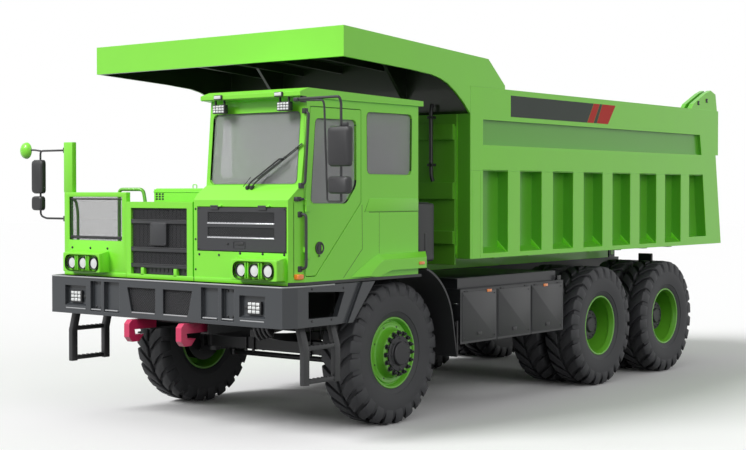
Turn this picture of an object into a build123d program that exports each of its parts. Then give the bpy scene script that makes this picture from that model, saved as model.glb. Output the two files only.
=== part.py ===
from build123d import *
from math import hypot, radians, sin
import os

# A wide-body mining dump truck with an offset cab, in millimetres.
# Its nose faces -Y, its left side is +X, and it stands on the ground at Z = 0.
# Heights are above the ground, and lengths written with aft() are behind the front axle.

# Layout of the whole truck
front_overhang = 1955
tail_reach = 7413
wheelbase = 4061
tandem_spacing = 1773
front_axle_y = (front_overhang - tail_reach) / 2
running_gap = 0.3
panel_gap = 8
pane_gap = 0.3


def aft(distance):
    return front_axle_y + distance


rear_axle_stations = (wheelbase, wheelbase + tandem_spacing)
bogie_station = wheelbase + tandem_spacing / 2

# Tyres and rims
tyre_radius = 745
tyre_width = 430
lug_count = 24
lug_depth = 55
lug_groove = 5
rim_lip_radius = 371.5
rim_lip = 26
rim_width = 330
axle_height = tyre_radius
front_wheel_x = 1365
dual_spacing = 490
rear_outer_x = 1532
rear_pair_x = rear_outer_x - dual_spacing / 2
drum_radius = 255
drum_inboard = 140
rear_drum_inboard = 380
spindle_radius = 75
spindle_end = 50
rear_spindle_radius = 90
rear_spindle_end = 90
front_disc = (95, 120)
front_boss_end = 235
front_boss_radius = 238
front_cap_end = 270
front_cap_radius = 120
rear_disc = (0, 30)
rear_hub_end = 273
rear_hub_radius = 190
rear_axle_tube = 130
diff_radius = 260
diff_half = 170
pinion_radius = 110
pinion_reach = 330

# Ladder frame
rail_outer = 475
rail_web = 20
rail_flange = 110
frame_bottom = 1000
frame_top = 1480
frame_nose = -1640
frame_tail = 6800
crossmember_stations = (-1500, -620, 2050, 3250, 6650)
crossmember_depth = 120
crossmember_low = 1080
crossmember_high = 1400
jaw_station = 6870
jaw_low = 1100
jaw_gap = 55
jaw_plate = 35
jaw_half = 90
jaw_pin_radius = 28

# Steering
kingpin_x = 1060
kingpin_radius = 38
beam_low = 660
beam_high = 800
beam_half_width = 70
beam_eye_radius = 75
beam_eye_high = 830
knuckle_gap = 5
knuckle_arm = 50
knuckle_plate_x = 1150
knuckle_plate = 50
steering_arm_reach = 330
steering_arm_width = 70
stud_radius = 18
stud_room = 4
tie_rod_radius = 30
tie_rod_height = 555

# Springs
spring_half = 880
spring_width = 90
spring_leaf = 30
spring_rise = 60
spring_foot = 60
rear_spring_xs = (590, 710)
rear_spring_eye = 80
rear_spring_leaf = 40
rear_spring_arch = 260
trunnion_height = 900
trunnion_radius = 75
trunnion_seat = 45

# Load bed
bed_half_width = 1783.5
bed_wall_inner = 1600
bed_front = 1055
bed_bottom = 1689
bed_rail_top = 3567
bed_rail_low = 3212
bed_band_low = 2935
bed_mid_rail_low = 2661
bed_panel_low = 1740
bed_ledge = 60
bed_floor_low = 1740
bed_floor_top = 1830
bed_floor_end = 7300
bed_flange_end = 7305
bed_tail_high = 7226
bearer_depth = 75
bearer_width = 100
first_rib = 1808
rib_pitch = 721
rib_width = 250
rib_count = 7
front_post = 245
rib_recess = 140
band_recess = 45
sill_width = 80
sill_front = 1400
sill_end = 6480
pivot_station = 6600
pivot_height = 1550
pivot_radius = 40
headboard_thickness = 60
headboard_low = 1620
headboard_beams = ((1850, 1990), (2340, 2520), (2990, 3160))
headboard_beam_depth = 60
recess_half = 260
recess_reach = 515
recess_wall = 30
recess_side = 40

# Canopy over the cab
canopy_front = -1110
canopy_plate = 30
canopy_front_low = 3728
canopy_front_high = 4029
canopy_rear_wall = (1022, 1052)
canopy_rear_high = 3874
stiffener_xs = (-1200, -600, 0, 600, 1200)
stiffener_width = 50
stiffener_depth = 90
brace_x = 900

# Tailgate
gate_rake = 0.149
gate_thickness = 70
gate_low = 1700
gate_high = 3600
gate_face_low = 7330
gate_clearance = 10
gate_hinge_station = 7120
gate_hinge_height = 3710
gate_pin_radius = 30
gate_ear = 60
gate_ear_reach = 1680
gate_pocket_depth = 40
gate_pocket_rows = ((1800, 2330), (2430, 2960), (3060, 3480))
gate_pocket_columns = ((-1490, -560), (-465, 465), (560, 1490))

# Front hoist
hoist_base_station = 720
hoist_base_height = 1100
hoist_top_station = 860
hoist_top_height = 3150
hoist_pin_radius = 35
hoist_top_pin_radius = 40
hoist_outer_radius = 150
hoist_wall = 12
hoist_step = 13
hoist_tube_start = 75
hoist_tube_top_room = 295
hoist_foot_radius = 60
hoist_eye_slot = 130
hoist_eye_room = 45
hoist_eye_wall = 38
hoist_eye_thickness = 120
hoist_beam_half = 100
hoist_beam_drop = 70
hoist_beam_plate = 30
hoist_lug = 30
hoist_lug_gap = 130
hoist_ear = 30
hoist_ear_gap = 150

# Bumper
bumper_face = -1861
bumper_half = 1654
bumper_side = 1705.5
bumper_corner = -1699
bumper_low = 1132.5
bumper_high = 1524
bumper_wall = 60
bumper_flange = 150
bumper_flange_plate = 18
recess_depth = 42
recess_ledge = 26

# Deck and cab
deck_low = 1530
deck_top = 1560
deck_right = -1616
deck_rear = 300
deck_beam_stations = (-1450, -1020)
cab_right = 356
cab_upper_right = 412
cab_left = 1680
cab_nose = -1720
cab_rear = 243
cab_floor = deck_top
cab_cowl = 2340
cab_screen_low = 2480
cab_screen_station = -1600
cab_screen_top_station = -1530
cab_top = 3310
cab_wall = 50
cab_corner_x = 1604
cab_corner_station = -1564
door_front = -1564
door_rear = -712
door_low = 1610
door_high = 3235
door_skin = 15
door_rebate = 28
door_corner = 25
window_corner = 55
glass_thickness = 8
glass_depth = 30
flap_xs = (401, 1586)
flap_zs = (1835, 2274)
flap_skin = 35
flap_slot_xs = (551, 1435)
flap_slots = ((2112, 2220), (1972, 2073))
flap_slot_depth = 18

# Door hinges stand just outside the door's front edge, and the flap hangs from its top edge
hinge_x = cab_left + 20
hinge_station = door_front - 6
hinge_heights = (1780, 2230)
hinge_barrel_radius = 14
hinge_pin_radius = 7
flap_hinge_station = cab_nose - 13
flap_hinge_height = flap_zs[1] + 6
flap_barrels = ((600, 700), (1235, 1335))
flap_pin_radius = 4
flap_barrel_radius = 8

# Nose panels, pods and lamps
grille_xs = (-634, 336)
grille_top = 2317
grille_opening = ((-565, 254), (1573, 2253))
grille_bars = ((2095, 2131), (1808, 1847), (1644, 1679))
grille_depth = 100
fence_xs = (deck_right, -634)
fence_top = 2415
fence_opening = ((-1536, -703), (1906, 2366))
fence_depth = 60
fence_post_xs = (-1627, -1481)
fence_post_top = 2955
cabinet_xs = (-450, 300)
cabinet_front = -1500
cabinet_rear = 150
cabinet_top = 2446
pod_xs = (913, 1577)
pod_face = -1850
pod_low = 1573
bezel_xs = (1017, 1537)
bezel_height = 168
bezel_rim = 16
bezel_proud = 16
headlamp_xs = (1104, 1277, 1450)
headlamp_height = 1670
headlamp_radius = 62

# Load-carrying boxes beside and inside the frame
battery_front = 990
battery_rear = wheelbase - tyre_radius - 156
battery_xs = (560, 1700)
battery_low = 760
battery_high = 1355
battery_shelf = 120
battery_groove = 12
motor_rear = wheelbase - tyre_radius - 216
motor_half = 300
motor_length = 950
motor_low = 840
motor_high = 1380
shaft_radius = 60

# Fenders, mudguards and ladders
fender_x = 1756
fender_root = [(-880, 1575), (-730, 1660), (-545, 1752), (-440, 1790), (372, 1795), (372, 1624),
               (-320, 1615), (-520, 1562)]
fender_edge = [(-671, 1580), (-574, 1654), (-480, 1715), (-425, 1733), (289, 1739), (289, 1626),
               (-305, 1625), (-514, 1567)]
guard_xs = (1150, 1700)
guard_thickness = 17
ladder_low = 573
ladder_bend = 920
ladder_posts = ((-1620, -1495), (-1165, -1035))
ladder_outer = 1700
ladder_plate = 20
ladder_lean = 65
ladder_steps = (573, 900)
ladder_step_depth = 150

# Tow hooks
hook_x = 375
hook_half = 38
hook_nose = -front_overhang


def block(xs, ys, zs, mode=Mode.ADD):
    """A box between two corners, given as pairs of limits."""
    centre = ((xs[0] + xs[1]) / 2, (ys[0] + ys[1]) / 2, (zs[0] + zs[1]) / 2)
    with Locations(centre):
        Box(abs(xs[1] - xs[0]), abs(ys[1] - ys[0]), abs(zs[1] - zs[0]), mode=mode)


def both_sides(xs):
    """The same pair of limits on the truck's left and on its right."""
    return (xs, (-xs[1], -xs[0]))


def side_profile(points, x_low, x_high, mode=Mode.ADD, inset=0, corner=0):
    """Extrudes an outline of (station, height) points across the truck.

    Its corners are rounded by corner, and then all of it is set in by inset.
    """
    with BuildSketch(Plane.YZ.offset(x_low)) as outline:
        with BuildLine():
            Polyline([(aft(station), height) for station, height in points], close=True)
        make_face()
        if corner:
            fillet(outline.vertices(), corner)
        if inset:
            offset(amount=-inset, kind=Kind.INTERSECTION, mode=Mode.REPLACE)
    extrude(outline.sketch, amount=x_high - x_low, mode=mode)


def front_profile(points, station_low, station_high, mode=Mode.ADD, inset=0, corner=0):
    """Extrudes an outline of (x, height) points along the truck."""
    with BuildSketch(Plane.XZ.offset(-aft(station_low))) as outline:
        with BuildLine():
            Polyline(points, close=True)
        make_face()
        if corner:
            fillet(outline.vertices(), corner)
        if inset:
            offset(amount=-inset, kind=Kind.INTERSECTION, mode=Mode.REPLACE)
    extrude(outline.sketch, amount=-(station_high - station_low), mode=mode)


def rectangle(xs, zs):
    """The four corners of an upright rectangle."""
    return [(xs[0], zs[0]), (xs[1], zs[0]), (xs[1], zs[1]), (xs[0], zs[1])]


def plan_profile(points, z_low, z_high, mode=Mode.ADD):
    """Extrudes an outline of (x, station) points upwards."""
    with BuildSketch(Plane.XY.offset(z_low)) as outline:
        with BuildLine():
            Polyline([(x, aft(station)) for x, station in points], close=True)
        make_face()
    extrude(outline.sketch, amount=z_high - z_low, mode=mode)


def rod_x(x_low, x_high, station, height, radius, mode=Mode.ADD):
    """A cylinder across the truck."""
    with BuildSketch(Plane.YZ.offset(x_low)) as outline:
        with Locations((aft(station), height)):
            Circle(radius)
    extrude(outline.sketch, amount=x_high - x_low, mode=mode)


def rod_y(x, station_low, station_high, height, radius, mode=Mode.ADD):
    """A cylinder along the truck."""
    with BuildSketch(Plane.XZ.offset(-aft(station_low))) as outline:
        with Locations((x, height)):
            Circle(radius)
    extrude(outline.sketch, amount=-(station_high - station_low), mode=mode)


def rod_z(x, station, z_low, z_high, radius, mode=Mode.ADD):
    """An upright cylinder."""
    with BuildSketch(Plane.XY.offset(z_low)) as outline:
        with Locations((x, aft(station))):
            Circle(radius)
    extrude(outline.sketch, amount=z_high - z_low, mode=mode)


# The lugged tyre: two rows of bevelled lugs, half a pitch apart, with V grooves between them
lug_pitch = 360 / lug_count


def lug_row(side, turn):
    """One half of the tyre, from its middle to its sidewall on the given side."""
    groove_foot = tyre_radius - lug_depth
    bevel = tyre_width / 2 - lug_depth
    with BuildSketch(Plane.YZ) as crown:
        RegularPolygon(tyre_radius, lug_count, rotation=turn)
    extrude(crown.sketch, amount=side * bevel)
    with BuildSketch(Plane.YZ.offset(side * bevel)) as shoulder:
        RegularPolygon(tyre_radius, lug_count, rotation=turn)
    with BuildSketch(Plane.YZ.offset(side * tyre_width / 2)) as sidewall:
        RegularPolygon(groove_foot, lug_count, rotation=turn)
    loft(sections=[shoulder.sketch, sidewall.sketch])
    half_angle = radians(lug_groove / 2)
    mouth = tyre_radius + lug_depth
    spread = 2 * tyre_radius * sin(half_angle)
    with BuildSketch(Plane.YZ) as grooves:
        with PolarLocations(0, lug_count, start_angle=turn):
            with BuildLine():
                Polyline(
                    (groove_foot, 0),
                    (mouth, spread),
                    (mouth, -spread),
                    close=True,
                )
            make_face()
    extrude(grooves.sketch, amount=side * tyre_width / 2, mode=Mode.SUBTRACT)


with BuildPart() as lug_row_left:
    lug_row(1, 0)
with BuildPart() as lug_row_right:
    lug_row(-1, lug_pitch / 2)
with BuildPart() as lugged_tyre:
    add(lug_row_left.part)
    add(lug_row_right.part)
    with BuildSketch(Plane.YZ.offset(-tyre_width / 2)):
        RegularPolygon(rim_lip_radius + 0.5, lug_count, major_radius=False)
    extrude(amount=tyre_width, mode=Mode.SUBTRACT)


def tyre(x, station):
    """A copy of the lugged tyre at its wheel."""
    with Locations((x, aft(station), axle_height)):
        add(lugged_tyre.part)


def spun_section(side, x, station, points):
    """Spins a wheel's half section of (distance outwards, radius) points about its axle."""
    half_plane = Plane(origin=(side * x, aft(station), axle_height), x_dir=(side, 0, 0), z_dir=(0, 0, 1))
    with BuildSketch(half_plane) as section:
        with BuildLine():
            Polyline(points, close=True)
        make_face()
    revolve(section.sketch, axis=Axis((0, aft(station), axle_height), (1, 0, 0)))


def front_rim(side):
    """A front rim with its disc near the lip, and its hub and drum."""
    half = rim_width / 2
    inner = rim_lip_radius - rim_lip
    bore = spindle_radius + running_gap
    bore_end = spindle_end + 10
    spun_section(side, front_wheel_x, 0, [
        (bore_end, 0), (front_cap_end, 0), (front_cap_end, front_cap_radius), (front_boss_end, front_cap_radius),
        (front_boss_end, front_boss_radius), (front_disc[1], front_boss_radius + 24), (front_disc[1], inner),
        (half, inner), (half, rim_lip_radius), (-half, rim_lip_radius), (-half, inner), (front_disc[0], inner),
        (front_disc[0], drum_radius), (-drum_inboard, drum_radius), (-drum_inboard, bore), (bore_end, bore),
    ])


def rear_rim(side, station):
    """A twin rim on one band, with its deep disc, hub and drum."""
    reach = dual_spacing / 2 + rim_width / 2
    inner = rim_lip_radius - rim_lip
    bore = rear_spindle_radius + running_gap
    bore_end = rear_spindle_end + 10
    spun_section(side, rear_pair_x, station, [
        (bore_end, 0), (rear_hub_end, 0), (rear_hub_end, rear_hub_radius), (rear_disc[1], rear_hub_radius + 20),
        (rear_disc[1], inner), (reach, inner), (reach, rim_lip_radius), (-reach, rim_lip_radius), (-reach, inner),
        (rear_disc[0], inner), (rear_disc[0], drum_radius), (-rear_drum_inboard, drum_radius),
        (-rear_drum_inboard, bore), (bore_end, bore),
    ])


# Wheels: one node for the tyres and one for the rim on each wheel body
with BuildPart() as front_tyre_left:
    tyre(front_wheel_x, 0)
with BuildPart() as front_tyre_right:
    tyre(-front_wheel_x, 0)
with BuildPart() as front_rim_left:
    front_rim(1)
with BuildPart() as front_rim_right:
    front_rim(-1)

rear_wheels = {}
for axle_name, axle_station in zip(("middle", "rear"), rear_axle_stations):
    for side_name, side_sign in (("left", 1), ("right", -1)):
        with BuildPart() as twin_tyres:
            tyre(side_sign * rear_outer_x, axle_station)
            tyre(side_sign * (rear_outer_x - dual_spacing), axle_station)
        with BuildPart() as twin_rim:
            rear_rim(side_sign, axle_station)
        rear_wheels[f"{axle_name}_tyres_{side_name}"] = twin_tyres
        rear_wheels[f"{axle_name}_rims_{side_name}"] = twin_rim

# Two channel rails with the bed's pivot plates
rail_inner = rail_outer - rail_web
pivot_boss = 80
with BuildPart() as frame:
    rail_ys = (aft(frame_nose), aft(frame_tail))
    block((rail_inner, rail_outer), rail_ys, (frame_bottom, frame_top))
    for low in (frame_bottom, frame_top - rail_web):
        block((rail_outer - rail_flange, rail_inner), rail_ys, (low, low + rail_web))
    with BuildSketch(Plane.YZ.offset(rail_outer - sill_width)):
        with Locations((aft(pivot_station), pivot_height)):
            Circle(pivot_boss)
        with Locations((aft(pivot_station), (pivot_height + frame_top) / 2)):
            Rectangle(2 * pivot_boss, pivot_height - frame_top)
    extrude(amount=sill_width)
    bore = pivot_radius + running_gap
    rod_x(rail_outer - sill_width, rail_outer, pivot_station, pivot_height, bore, Mode.SUBTRACT)
    mirror(about=Plane.YZ)

# Crossmembers between the rails' webs, the last with the tow jaw
with BuildPart() as crossmembers:
    for station in crossmember_stations:
        ys = (aft(station) - crossmember_depth / 2, aft(station) + crossmember_depth / 2)
        block((-rail_inner, rail_inner), ys, (crossmember_low, crossmember_high))
    jaw_root = crossmember_stations[-1] + crossmember_depth / 2
    for low in (jaw_low, jaw_low + jaw_plate + jaw_gap):
        block((-jaw_half, jaw_half), (aft(jaw_root), aft(jaw_station + 60)), (low, low + jaw_plate))
    rod_z(0, jaw_station, jaw_low, jaw_low + 2 * jaw_plate + jaw_gap, jaw_pin_radius, Mode.SUBTRACT)

# The hoist's beam between the rails, with its two ears and their pin
with BuildPart() as hoist_beam:
    beam_ys = (aft(hoist_base_station - hoist_beam_half), aft(hoist_base_station + hoist_beam_half))
    beam_top = hoist_base_height - hoist_beam_drop
    beam_low_face = beam_top - hoist_beam_plate
    flange_x = rail_outer - rail_flange
    block((-flange_x, flange_x), beam_ys, (beam_low_face, beam_top))
    for xs in both_sides((flange_x - rail_web, flange_x)):
        block(xs, beam_ys, (min(beam_low_face, frame_bottom), frame_top))
    for xs in both_sides((hoist_lug_gap / 2, hoist_lug_gap / 2 + hoist_lug)):
        side_profile([(hoist_base_station - 60, beam_top), (hoist_base_station + 60, beam_top),
                      (hoist_base_station + 45, hoist_base_height + 40),
                      (hoist_base_station - 45, hoist_base_height + 40)], xs[0], xs[1])
    pin_reach = hoist_lug_gap / 2 + hoist_lug
    rod_x(-pin_reach, pin_reach, hoist_base_station, hoist_base_height, hoist_pin_radius)

with BuildPart() as front_axle:
    block((-kingpin_x, kingpin_x), (aft(-beam_half_width), aft(beam_half_width)), (beam_low, beam_high))
    for x in (-kingpin_x, kingpin_x):
        rod_z(x, 0, beam_low, beam_eye_high, beam_eye_radius)
    for x in (-kingpin_x, kingpin_x):
        rod_z(x, 0, beam_low, beam_eye_high, kingpin_radius + running_gap, Mode.SUBTRACT)


def knuckle(side):
    """A clevis round the beam's eye, with its kingpin, spindle and steering arm."""
    upper = (beam_eye_high + knuckle_gap, beam_eye_high + knuckle_gap + knuckle_arm)
    lower = (beam_low - knuckle_gap - knuckle_arm, beam_low - knuckle_gap)
    for zs in (upper, lower):
        rod_z(side * kingpin_x, 0, zs[0], zs[1], beam_eye_radius)
        block((side * kingpin_x, side * knuckle_plate_x), (aft(-beam_eye_radius), aft(beam_eye_radius)), zs)
    plate_xs = (side * knuckle_plate_x, side * (knuckle_plate_x + knuckle_plate))
    block(plate_xs, (aft(-beam_eye_radius), aft(beam_eye_radius)), (lower[0], upper[1]))
    rod_z(side * kingpin_x, 0, lower[0], upper[1], kingpin_radius)
    spindle = sorted((side * knuckle_plate_x, side * (front_wheel_x + spindle_end)))
    rod_x(spindle[0], spindle[1], 0, axle_height, spindle_radius)
    arm_xs = (side * kingpin_x - steering_arm_width / 2, side * kingpin_x + steering_arm_width / 2)
    block(arm_xs, (aft(0), aft(steering_arm_reach)), lower)
    rod_z(side * kingpin_x, steering_arm_reach, lower[0], lower[1], steering_arm_width / 2)


with BuildPart() as knuckle_left:
    knuckle(1)
    rod_z(kingpin_x, steering_arm_reach, 0, axle_height, stud_radius + running_gap, Mode.SUBTRACT)
with BuildPart() as knuckle_right:
    knuckle(-1)
    rod_z(-kingpin_x, steering_arm_reach, 0, axle_height, stud_radius + stud_room, Mode.SUBTRACT)
with BuildPart() as tie_rod:
    rod_x(-kingpin_x, kingpin_x, steering_arm_reach, tie_rod_height, tie_rod_radius)
    for x in (-kingpin_x, kingpin_x):
        rod_z(x, steering_arm_reach, tie_rod_height - 35, tie_rod_height + 35, 40)
        rod_z(x, steering_arm_reach, tie_rod_height, beam_low - knuckle_gap, stud_radius)

# Rear axles with their differential housings and pinion noses
with BuildPart() as rear_axles:
    for station in rear_axle_stations:
        tube_end = rear_pair_x - rear_drum_inboard - 27
        rod_x(-tube_end, tube_end, station, axle_height, rear_axle_tube)
        rod_x(-diff_half, diff_half, station, axle_height, diff_radius)
        spindle_reach = rear_pair_x + rear_spindle_end
        rod_x(-spindle_reach, spindle_reach, station, axle_height, rear_spindle_radius)
        rod_y(0, station - pinion_reach, station, axle_height, pinion_radius)
    rod_y(0, rear_axle_stations[0], rear_axle_stations[0] + pinion_reach, axle_height, pinion_radius)


def leaf_pack(x_low, x_high, ends, top_ends, top_middle, under_ends, under_middle):
    """A pack of leaves seen from the side: one arc over it and one under it."""
    middle = (ends[0] + ends[1]) / 2
    with BuildSketch(Plane.YZ.offset(x_low)) as outline:
        with BuildLine():
            ThreePointArc((aft(ends[0]), top_ends), (aft(middle), top_middle), (aft(ends[1]), top_ends))
            Line((aft(ends[1]), top_ends), (aft(ends[1]), under_ends))
            ThreePointArc((aft(ends[1]), under_ends), (aft(middle), under_middle), (aft(ends[0]), under_ends))
            Line((aft(ends[0]), under_ends), (aft(ends[0]), top_ends))
        make_face()
    extrude(outline.sketch, amount=x_high - x_low)


# Springs: front leaf packs on the beam, and a rocking pack on each side of the bogie
with BuildPart() as suspension:
    for low, high in both_sides((rail_outer - spring_width, rail_outer)):
        spring_top = frame_bottom - 40
        leaf_pack(low, high, (-spring_half, spring_half), spring_top, spring_top - spring_rise,
                  spring_top - spring_leaf, beam_high)
        block((low, high), (aft(-beam_half_width), aft(beam_half_width)), (beam_high, beam_high + 100))
        for station in (-spring_half, spring_half):
            foot_ys = (aft(station - spring_foot), aft(station + spring_foot))
            block((low, high), foot_ys, (spring_top - 45, frame_bottom))
    for low, high in both_sides(rear_spring_xs):
        ends = (rear_axle_stations[0] - rear_spring_eye, rear_axle_stations[1] + rear_spring_eye)
        axle_top = axle_height + rear_axle_tube
        seat = axle_top + rear_spring_leaf
        leaf_pack(low, high, ends, seat + trunnion_seat, seat + rear_spring_arch, seat, seat + rear_spring_arch - 140)
        hub_ys = (aft(bogie_station - 110), aft(bogie_station + 110))
        block((low, high), hub_ys, (trunnion_height, seat + rear_spring_arch - 120))
        for station in rear_axle_stations:
            seat_ys = (aft(station - spring_foot), aft(station + spring_foot))
            block((low, high), seat_ys, (axle_top, seat + 10))
    for xs in both_sides((rail_outer, rail_outer + 30)):
        bracket_ys = (aft(bogie_station - 220), aft(bogie_station + 220))
        block(xs, bracket_ys, (trunnion_height - 80, frame_top - 80))
    trunnion_reach = rear_spring_xs[1] + 10
    rod_x(-trunnion_reach, trunnion_reach, bogie_station, trunnion_height, trunnion_radius)


def bumper_recess(xs, zs):
    """A recess in the bumper's face whose floor slopes up inwards, on both sides of the truck."""
    for low, high in both_sides(xs):
        side_profile([(bumper_face - 1, zs[0]), (bumper_face + recess_depth, zs[0] + recess_ledge),
                      (bumper_face + recess_depth, zs[1]), (bumper_face - 1, zs[1])], low, high, Mode.SUBTRACT)


# Bumper: a folded shell with chamfered corners, recesses in its face and swept-back sides
with BuildPart() as bumper:
    plan_profile([(-bumper_half, bumper_face), (bumper_half, bumper_face), (bumper_side, bumper_corner),
                  (bumper_side, -519), (-bumper_side, -519), (-bumper_side, bumper_corner)], bumper_low, bumper_high)
    inner_half = bumper_side - bumper_wall
    inner_corner = bumper_half - bumper_wall + 6
    inner_face = bumper_face + bumper_wall
    plan_profile([(-inner_corner, inner_face), (inner_corner, inner_face), (inner_half, bumper_corner + 9),
                  (inner_half, -400), (-inner_half, -400), (-inner_half, bumper_corner + 9)],
                 bumper_low + bumper_flange_plate, bumper_high + 50, Mode.SUBTRACT)
    flange_half = inner_half - bumper_flange
    block((-flange_half, flange_half), (aft(inner_face + bumper_flange), aft(-400)),
          (bumper_low - 10, bumper_high), Mode.SUBTRACT)
    side_profile([(-519, bumper_high), (-876, bumper_low), (-876, bumper_low - 90), (-300, bumper_low - 90),
                  (-300, bumper_high + 80), (-519, bumper_high + 80)], -1800, 1800, Mode.SUBTRACT)
    for low, high in both_sides((bumper_side - 30, bumper_side + 10)):
        side_profile([(-806, bumper_high + 6), (-714, bumper_high + 6), (-950, bumper_low - 3),
                      (-1050, bumper_low - 3)], low, high, Mode.SUBTRACT)
    side_profile([(-1546, 1468), (-1003, 1443), (-1114, 1206), (-1545, 1210)], -bumper_side - 10, bumper_side + 10,
                 Mode.SUBTRACT)
    for side in (-1, 1):
        front_profile([(side * 55, 1195), (side * 410, 1195), (side * 470, 1443), (side * 55, 1443)],
                      bumper_face - 1, bumper_face + recess_depth, Mode.SUBTRACT)
    bumper_recess((590, 825), (1168, 1486))
    bumper_recess((868, 1035), (1168, 1486))
    bumper_recess((1105, 1440), (1215, 1430))
    for xs in both_sides((rail_outer - rail_flange, rail_outer)):
        block(xs, (aft(inner_face), aft(frame_nose)), (bumper_low + bumper_flange_plate, 1470))

# Deck that carries the cab, the grille and the fence
with BuildPart() as deck:
    plan_profile([(deck_right, cab_nose), (cab_corner_x, cab_nose), (cab_left, cab_corner_station),
                  (cab_left, deck_rear), (deck_right, deck_rear)], deck_low, deck_top)
    for station in deck_beam_stations:
        block((-1500, 1500), (aft(station - 60), aft(station + 60)), (frame_top, deck_low))
    block((-rail_outer, rail_outer), (aft(deck_rear - 120), aft(deck_rear)), (frame_top, deck_low))

# Cab shell: hollow, with its openings for the windows, the door and the service flap
cab_outline = [(cab_nose, cab_floor), (cab_nose, cab_cowl), (cab_screen_station, cab_screen_low),
               (cab_screen_top_station, cab_top), (cab_rear, cab_top), (cab_rear, cab_floor)]
cab_inside = [(cab_nose + cab_wall, cab_floor + cab_wall), (cab_nose + cab_wall, cab_cowl - 20),
              (cab_screen_station + cab_wall, cab_screen_low - 20), (cab_screen_top_station + cab_wall, cab_top + 100),
              (cab_rear - cab_wall, cab_top + 100), (cab_rear - cab_wall, cab_floor + cab_wall)]
door_outline = [(door_front, door_low), (door_front, 2370), (-1490, door_high), (door_rear, door_high),
                (door_rear, 2310), (-1412, door_low)]
door_window = [(-1484, 2309), (-1411, 3122), (-795, 3126), (-793, 2480), (-948, 2304)]
quarter_window = [(-618, 2598), (-625, 3215), (129, 3218), (118, 2595)]
right_window = [(-1450, 2560), (-1400, 3150), (100, 3150), (100, 2560)]
screen_window = [(462, 2495), (1608, 2495), (1608, 3186), (462, 3186)]
rear_window = [(600, 2650), (1480, 2650), (1480, 3150), (600, 3150)]
wall_in = cab_left - cab_wall - 40
wall_out = cab_left + 20

with BuildPart() as cab_shell:
    side_profile(cab_outline, cab_right, cab_left)
    plan_profile([(cab_corner_x, cab_nose - 10), (cab_left + 10, cab_nose - 10), (cab_left + 10, cab_corner_station),
                  (cab_left, cab_corner_station), (cab_corner_x, cab_nose)], cab_floor - 10, cab_top + 10,
                 Mode.SUBTRACT)
    front_profile([(cab_right - 10, cab_cowl + 60), (cab_right, cab_cowl + 60), (cab_upper_right, cab_screen_low),
                   (cab_upper_right, cab_top + 10), (cab_right - 10, cab_top + 10)], cab_nose - 10, cab_rear + 10,
                  Mode.SUBTRACT)
    side_profile(cab_inside, cab_upper_right + cab_wall, cab_left - cab_wall, Mode.SUBTRACT)
    block((cab_right + cab_wall, cab_upper_right + cab_wall), (aft(cab_nose + cab_wall), aft(cab_rear - cab_wall)),
          (cab_floor + cab_wall, cab_cowl - 20), Mode.SUBTRACT)
    side_profile(door_outline, wall_in, wall_out, Mode.SUBTRACT, corner=door_corner)
    side_profile(quarter_window, wall_in, wall_out, Mode.SUBTRACT, corner=window_corner)
    side_profile(right_window, cab_upper_right - 20, cab_upper_right + cab_wall + 20, Mode.SUBTRACT,
                 corner=window_corner)
    front_profile(screen_window, cab_screen_station - 60, cab_screen_top_station + 130, Mode.SUBTRACT,
                  corner=window_corner)
    front_profile(rear_window, cab_rear - cab_wall - 20, cab_rear + 20, Mode.SUBTRACT, corner=window_corner)
    block(flap_xs, (aft(cab_nose - 20), aft(cab_nose + cab_wall + 20)), flap_zs, Mode.SUBTRACT)
    block((cab_upper_right + cab_wall, cab_left - cab_wall), (aft(-1480), aft(-1440)),
          (cab_floor + cab_wall, cab_cowl + 80))
    for height in hinge_heights:
        rod_z(hinge_x, hinge_station, height + 65, height + 115, hinge_barrel_radius)
        leaf_ys = (aft(hinge_station - hinge_barrel_radius), aft(hinge_station))
        block((cab_left - 20, hinge_x), leaf_ys, (height + 65, height + 115))
        rod_z(hinge_x, hinge_station, height + 65, height + 125, hinge_pin_radius + running_gap, Mode.SUBTRACT)
    for low, high in flap_barrels:
        rod_x(high + 5, high + 45, flap_hinge_station, flap_hinge_height, flap_barrel_radius)
        leaf_zs = (flap_hinge_height + 1, flap_hinge_height + flap_barrel_radius)
        block((high + 5, high + 45), (aft(flap_hinge_station), aft(cab_nose)), leaf_zs)
        pin_bore = flap_pin_radius + running_gap
        rod_x(high, high + 50, flap_hinge_station, flap_hinge_height, pin_bore, Mode.SUBTRACT)

with BuildPart() as cab_roof:
    side_profile([(-1660, 3325), (-1660, 3365), (-1540, 3405), (deck_rear, 3365), (deck_rear, cab_top),
                  (cab_screen_top_station, cab_top)], cab_upper_right - 20, cab_left + 25)

# Panes, each set in from its opening by the same gap
with BuildPart() as cab_glass:
    lean = (cab_screen_top_station - cab_screen_station) / (cab_top - cab_screen_low)
    slant = Plane(origin=(0, aft(cab_screen_station + 20), cab_screen_low), x_dir=(1, 0, 0), z_dir=(0, -1, lean))
    rise = hypot(1, lean)
    with BuildSketch(slant):
        with BuildLine():
            Polyline([(x, (z - cab_screen_low) * rise) for x, z in screen_window], close=True)
        make_face()
        fillet(vertices(), window_corner)
        offset(amount=-pane_gap * 3, kind=Kind.INTERSECTION, mode=Mode.REPLACE)
    extrude(amount=-glass_thickness)
    pane = (cab_left - glass_depth, cab_left - glass_depth + glass_thickness)
    side_profile(quarter_window, pane[0], pane[1], inset=pane_gap, corner=window_corner)
    side_profile(right_window, cab_upper_right + 20, cab_upper_right + 20 + glass_thickness, inset=pane_gap,
                 corner=window_corner)
    front_profile(rear_window, cab_rear - glass_depth, cab_rear - glass_depth + glass_thickness, inset=pane_gap,
                  corner=window_corner)

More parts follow.
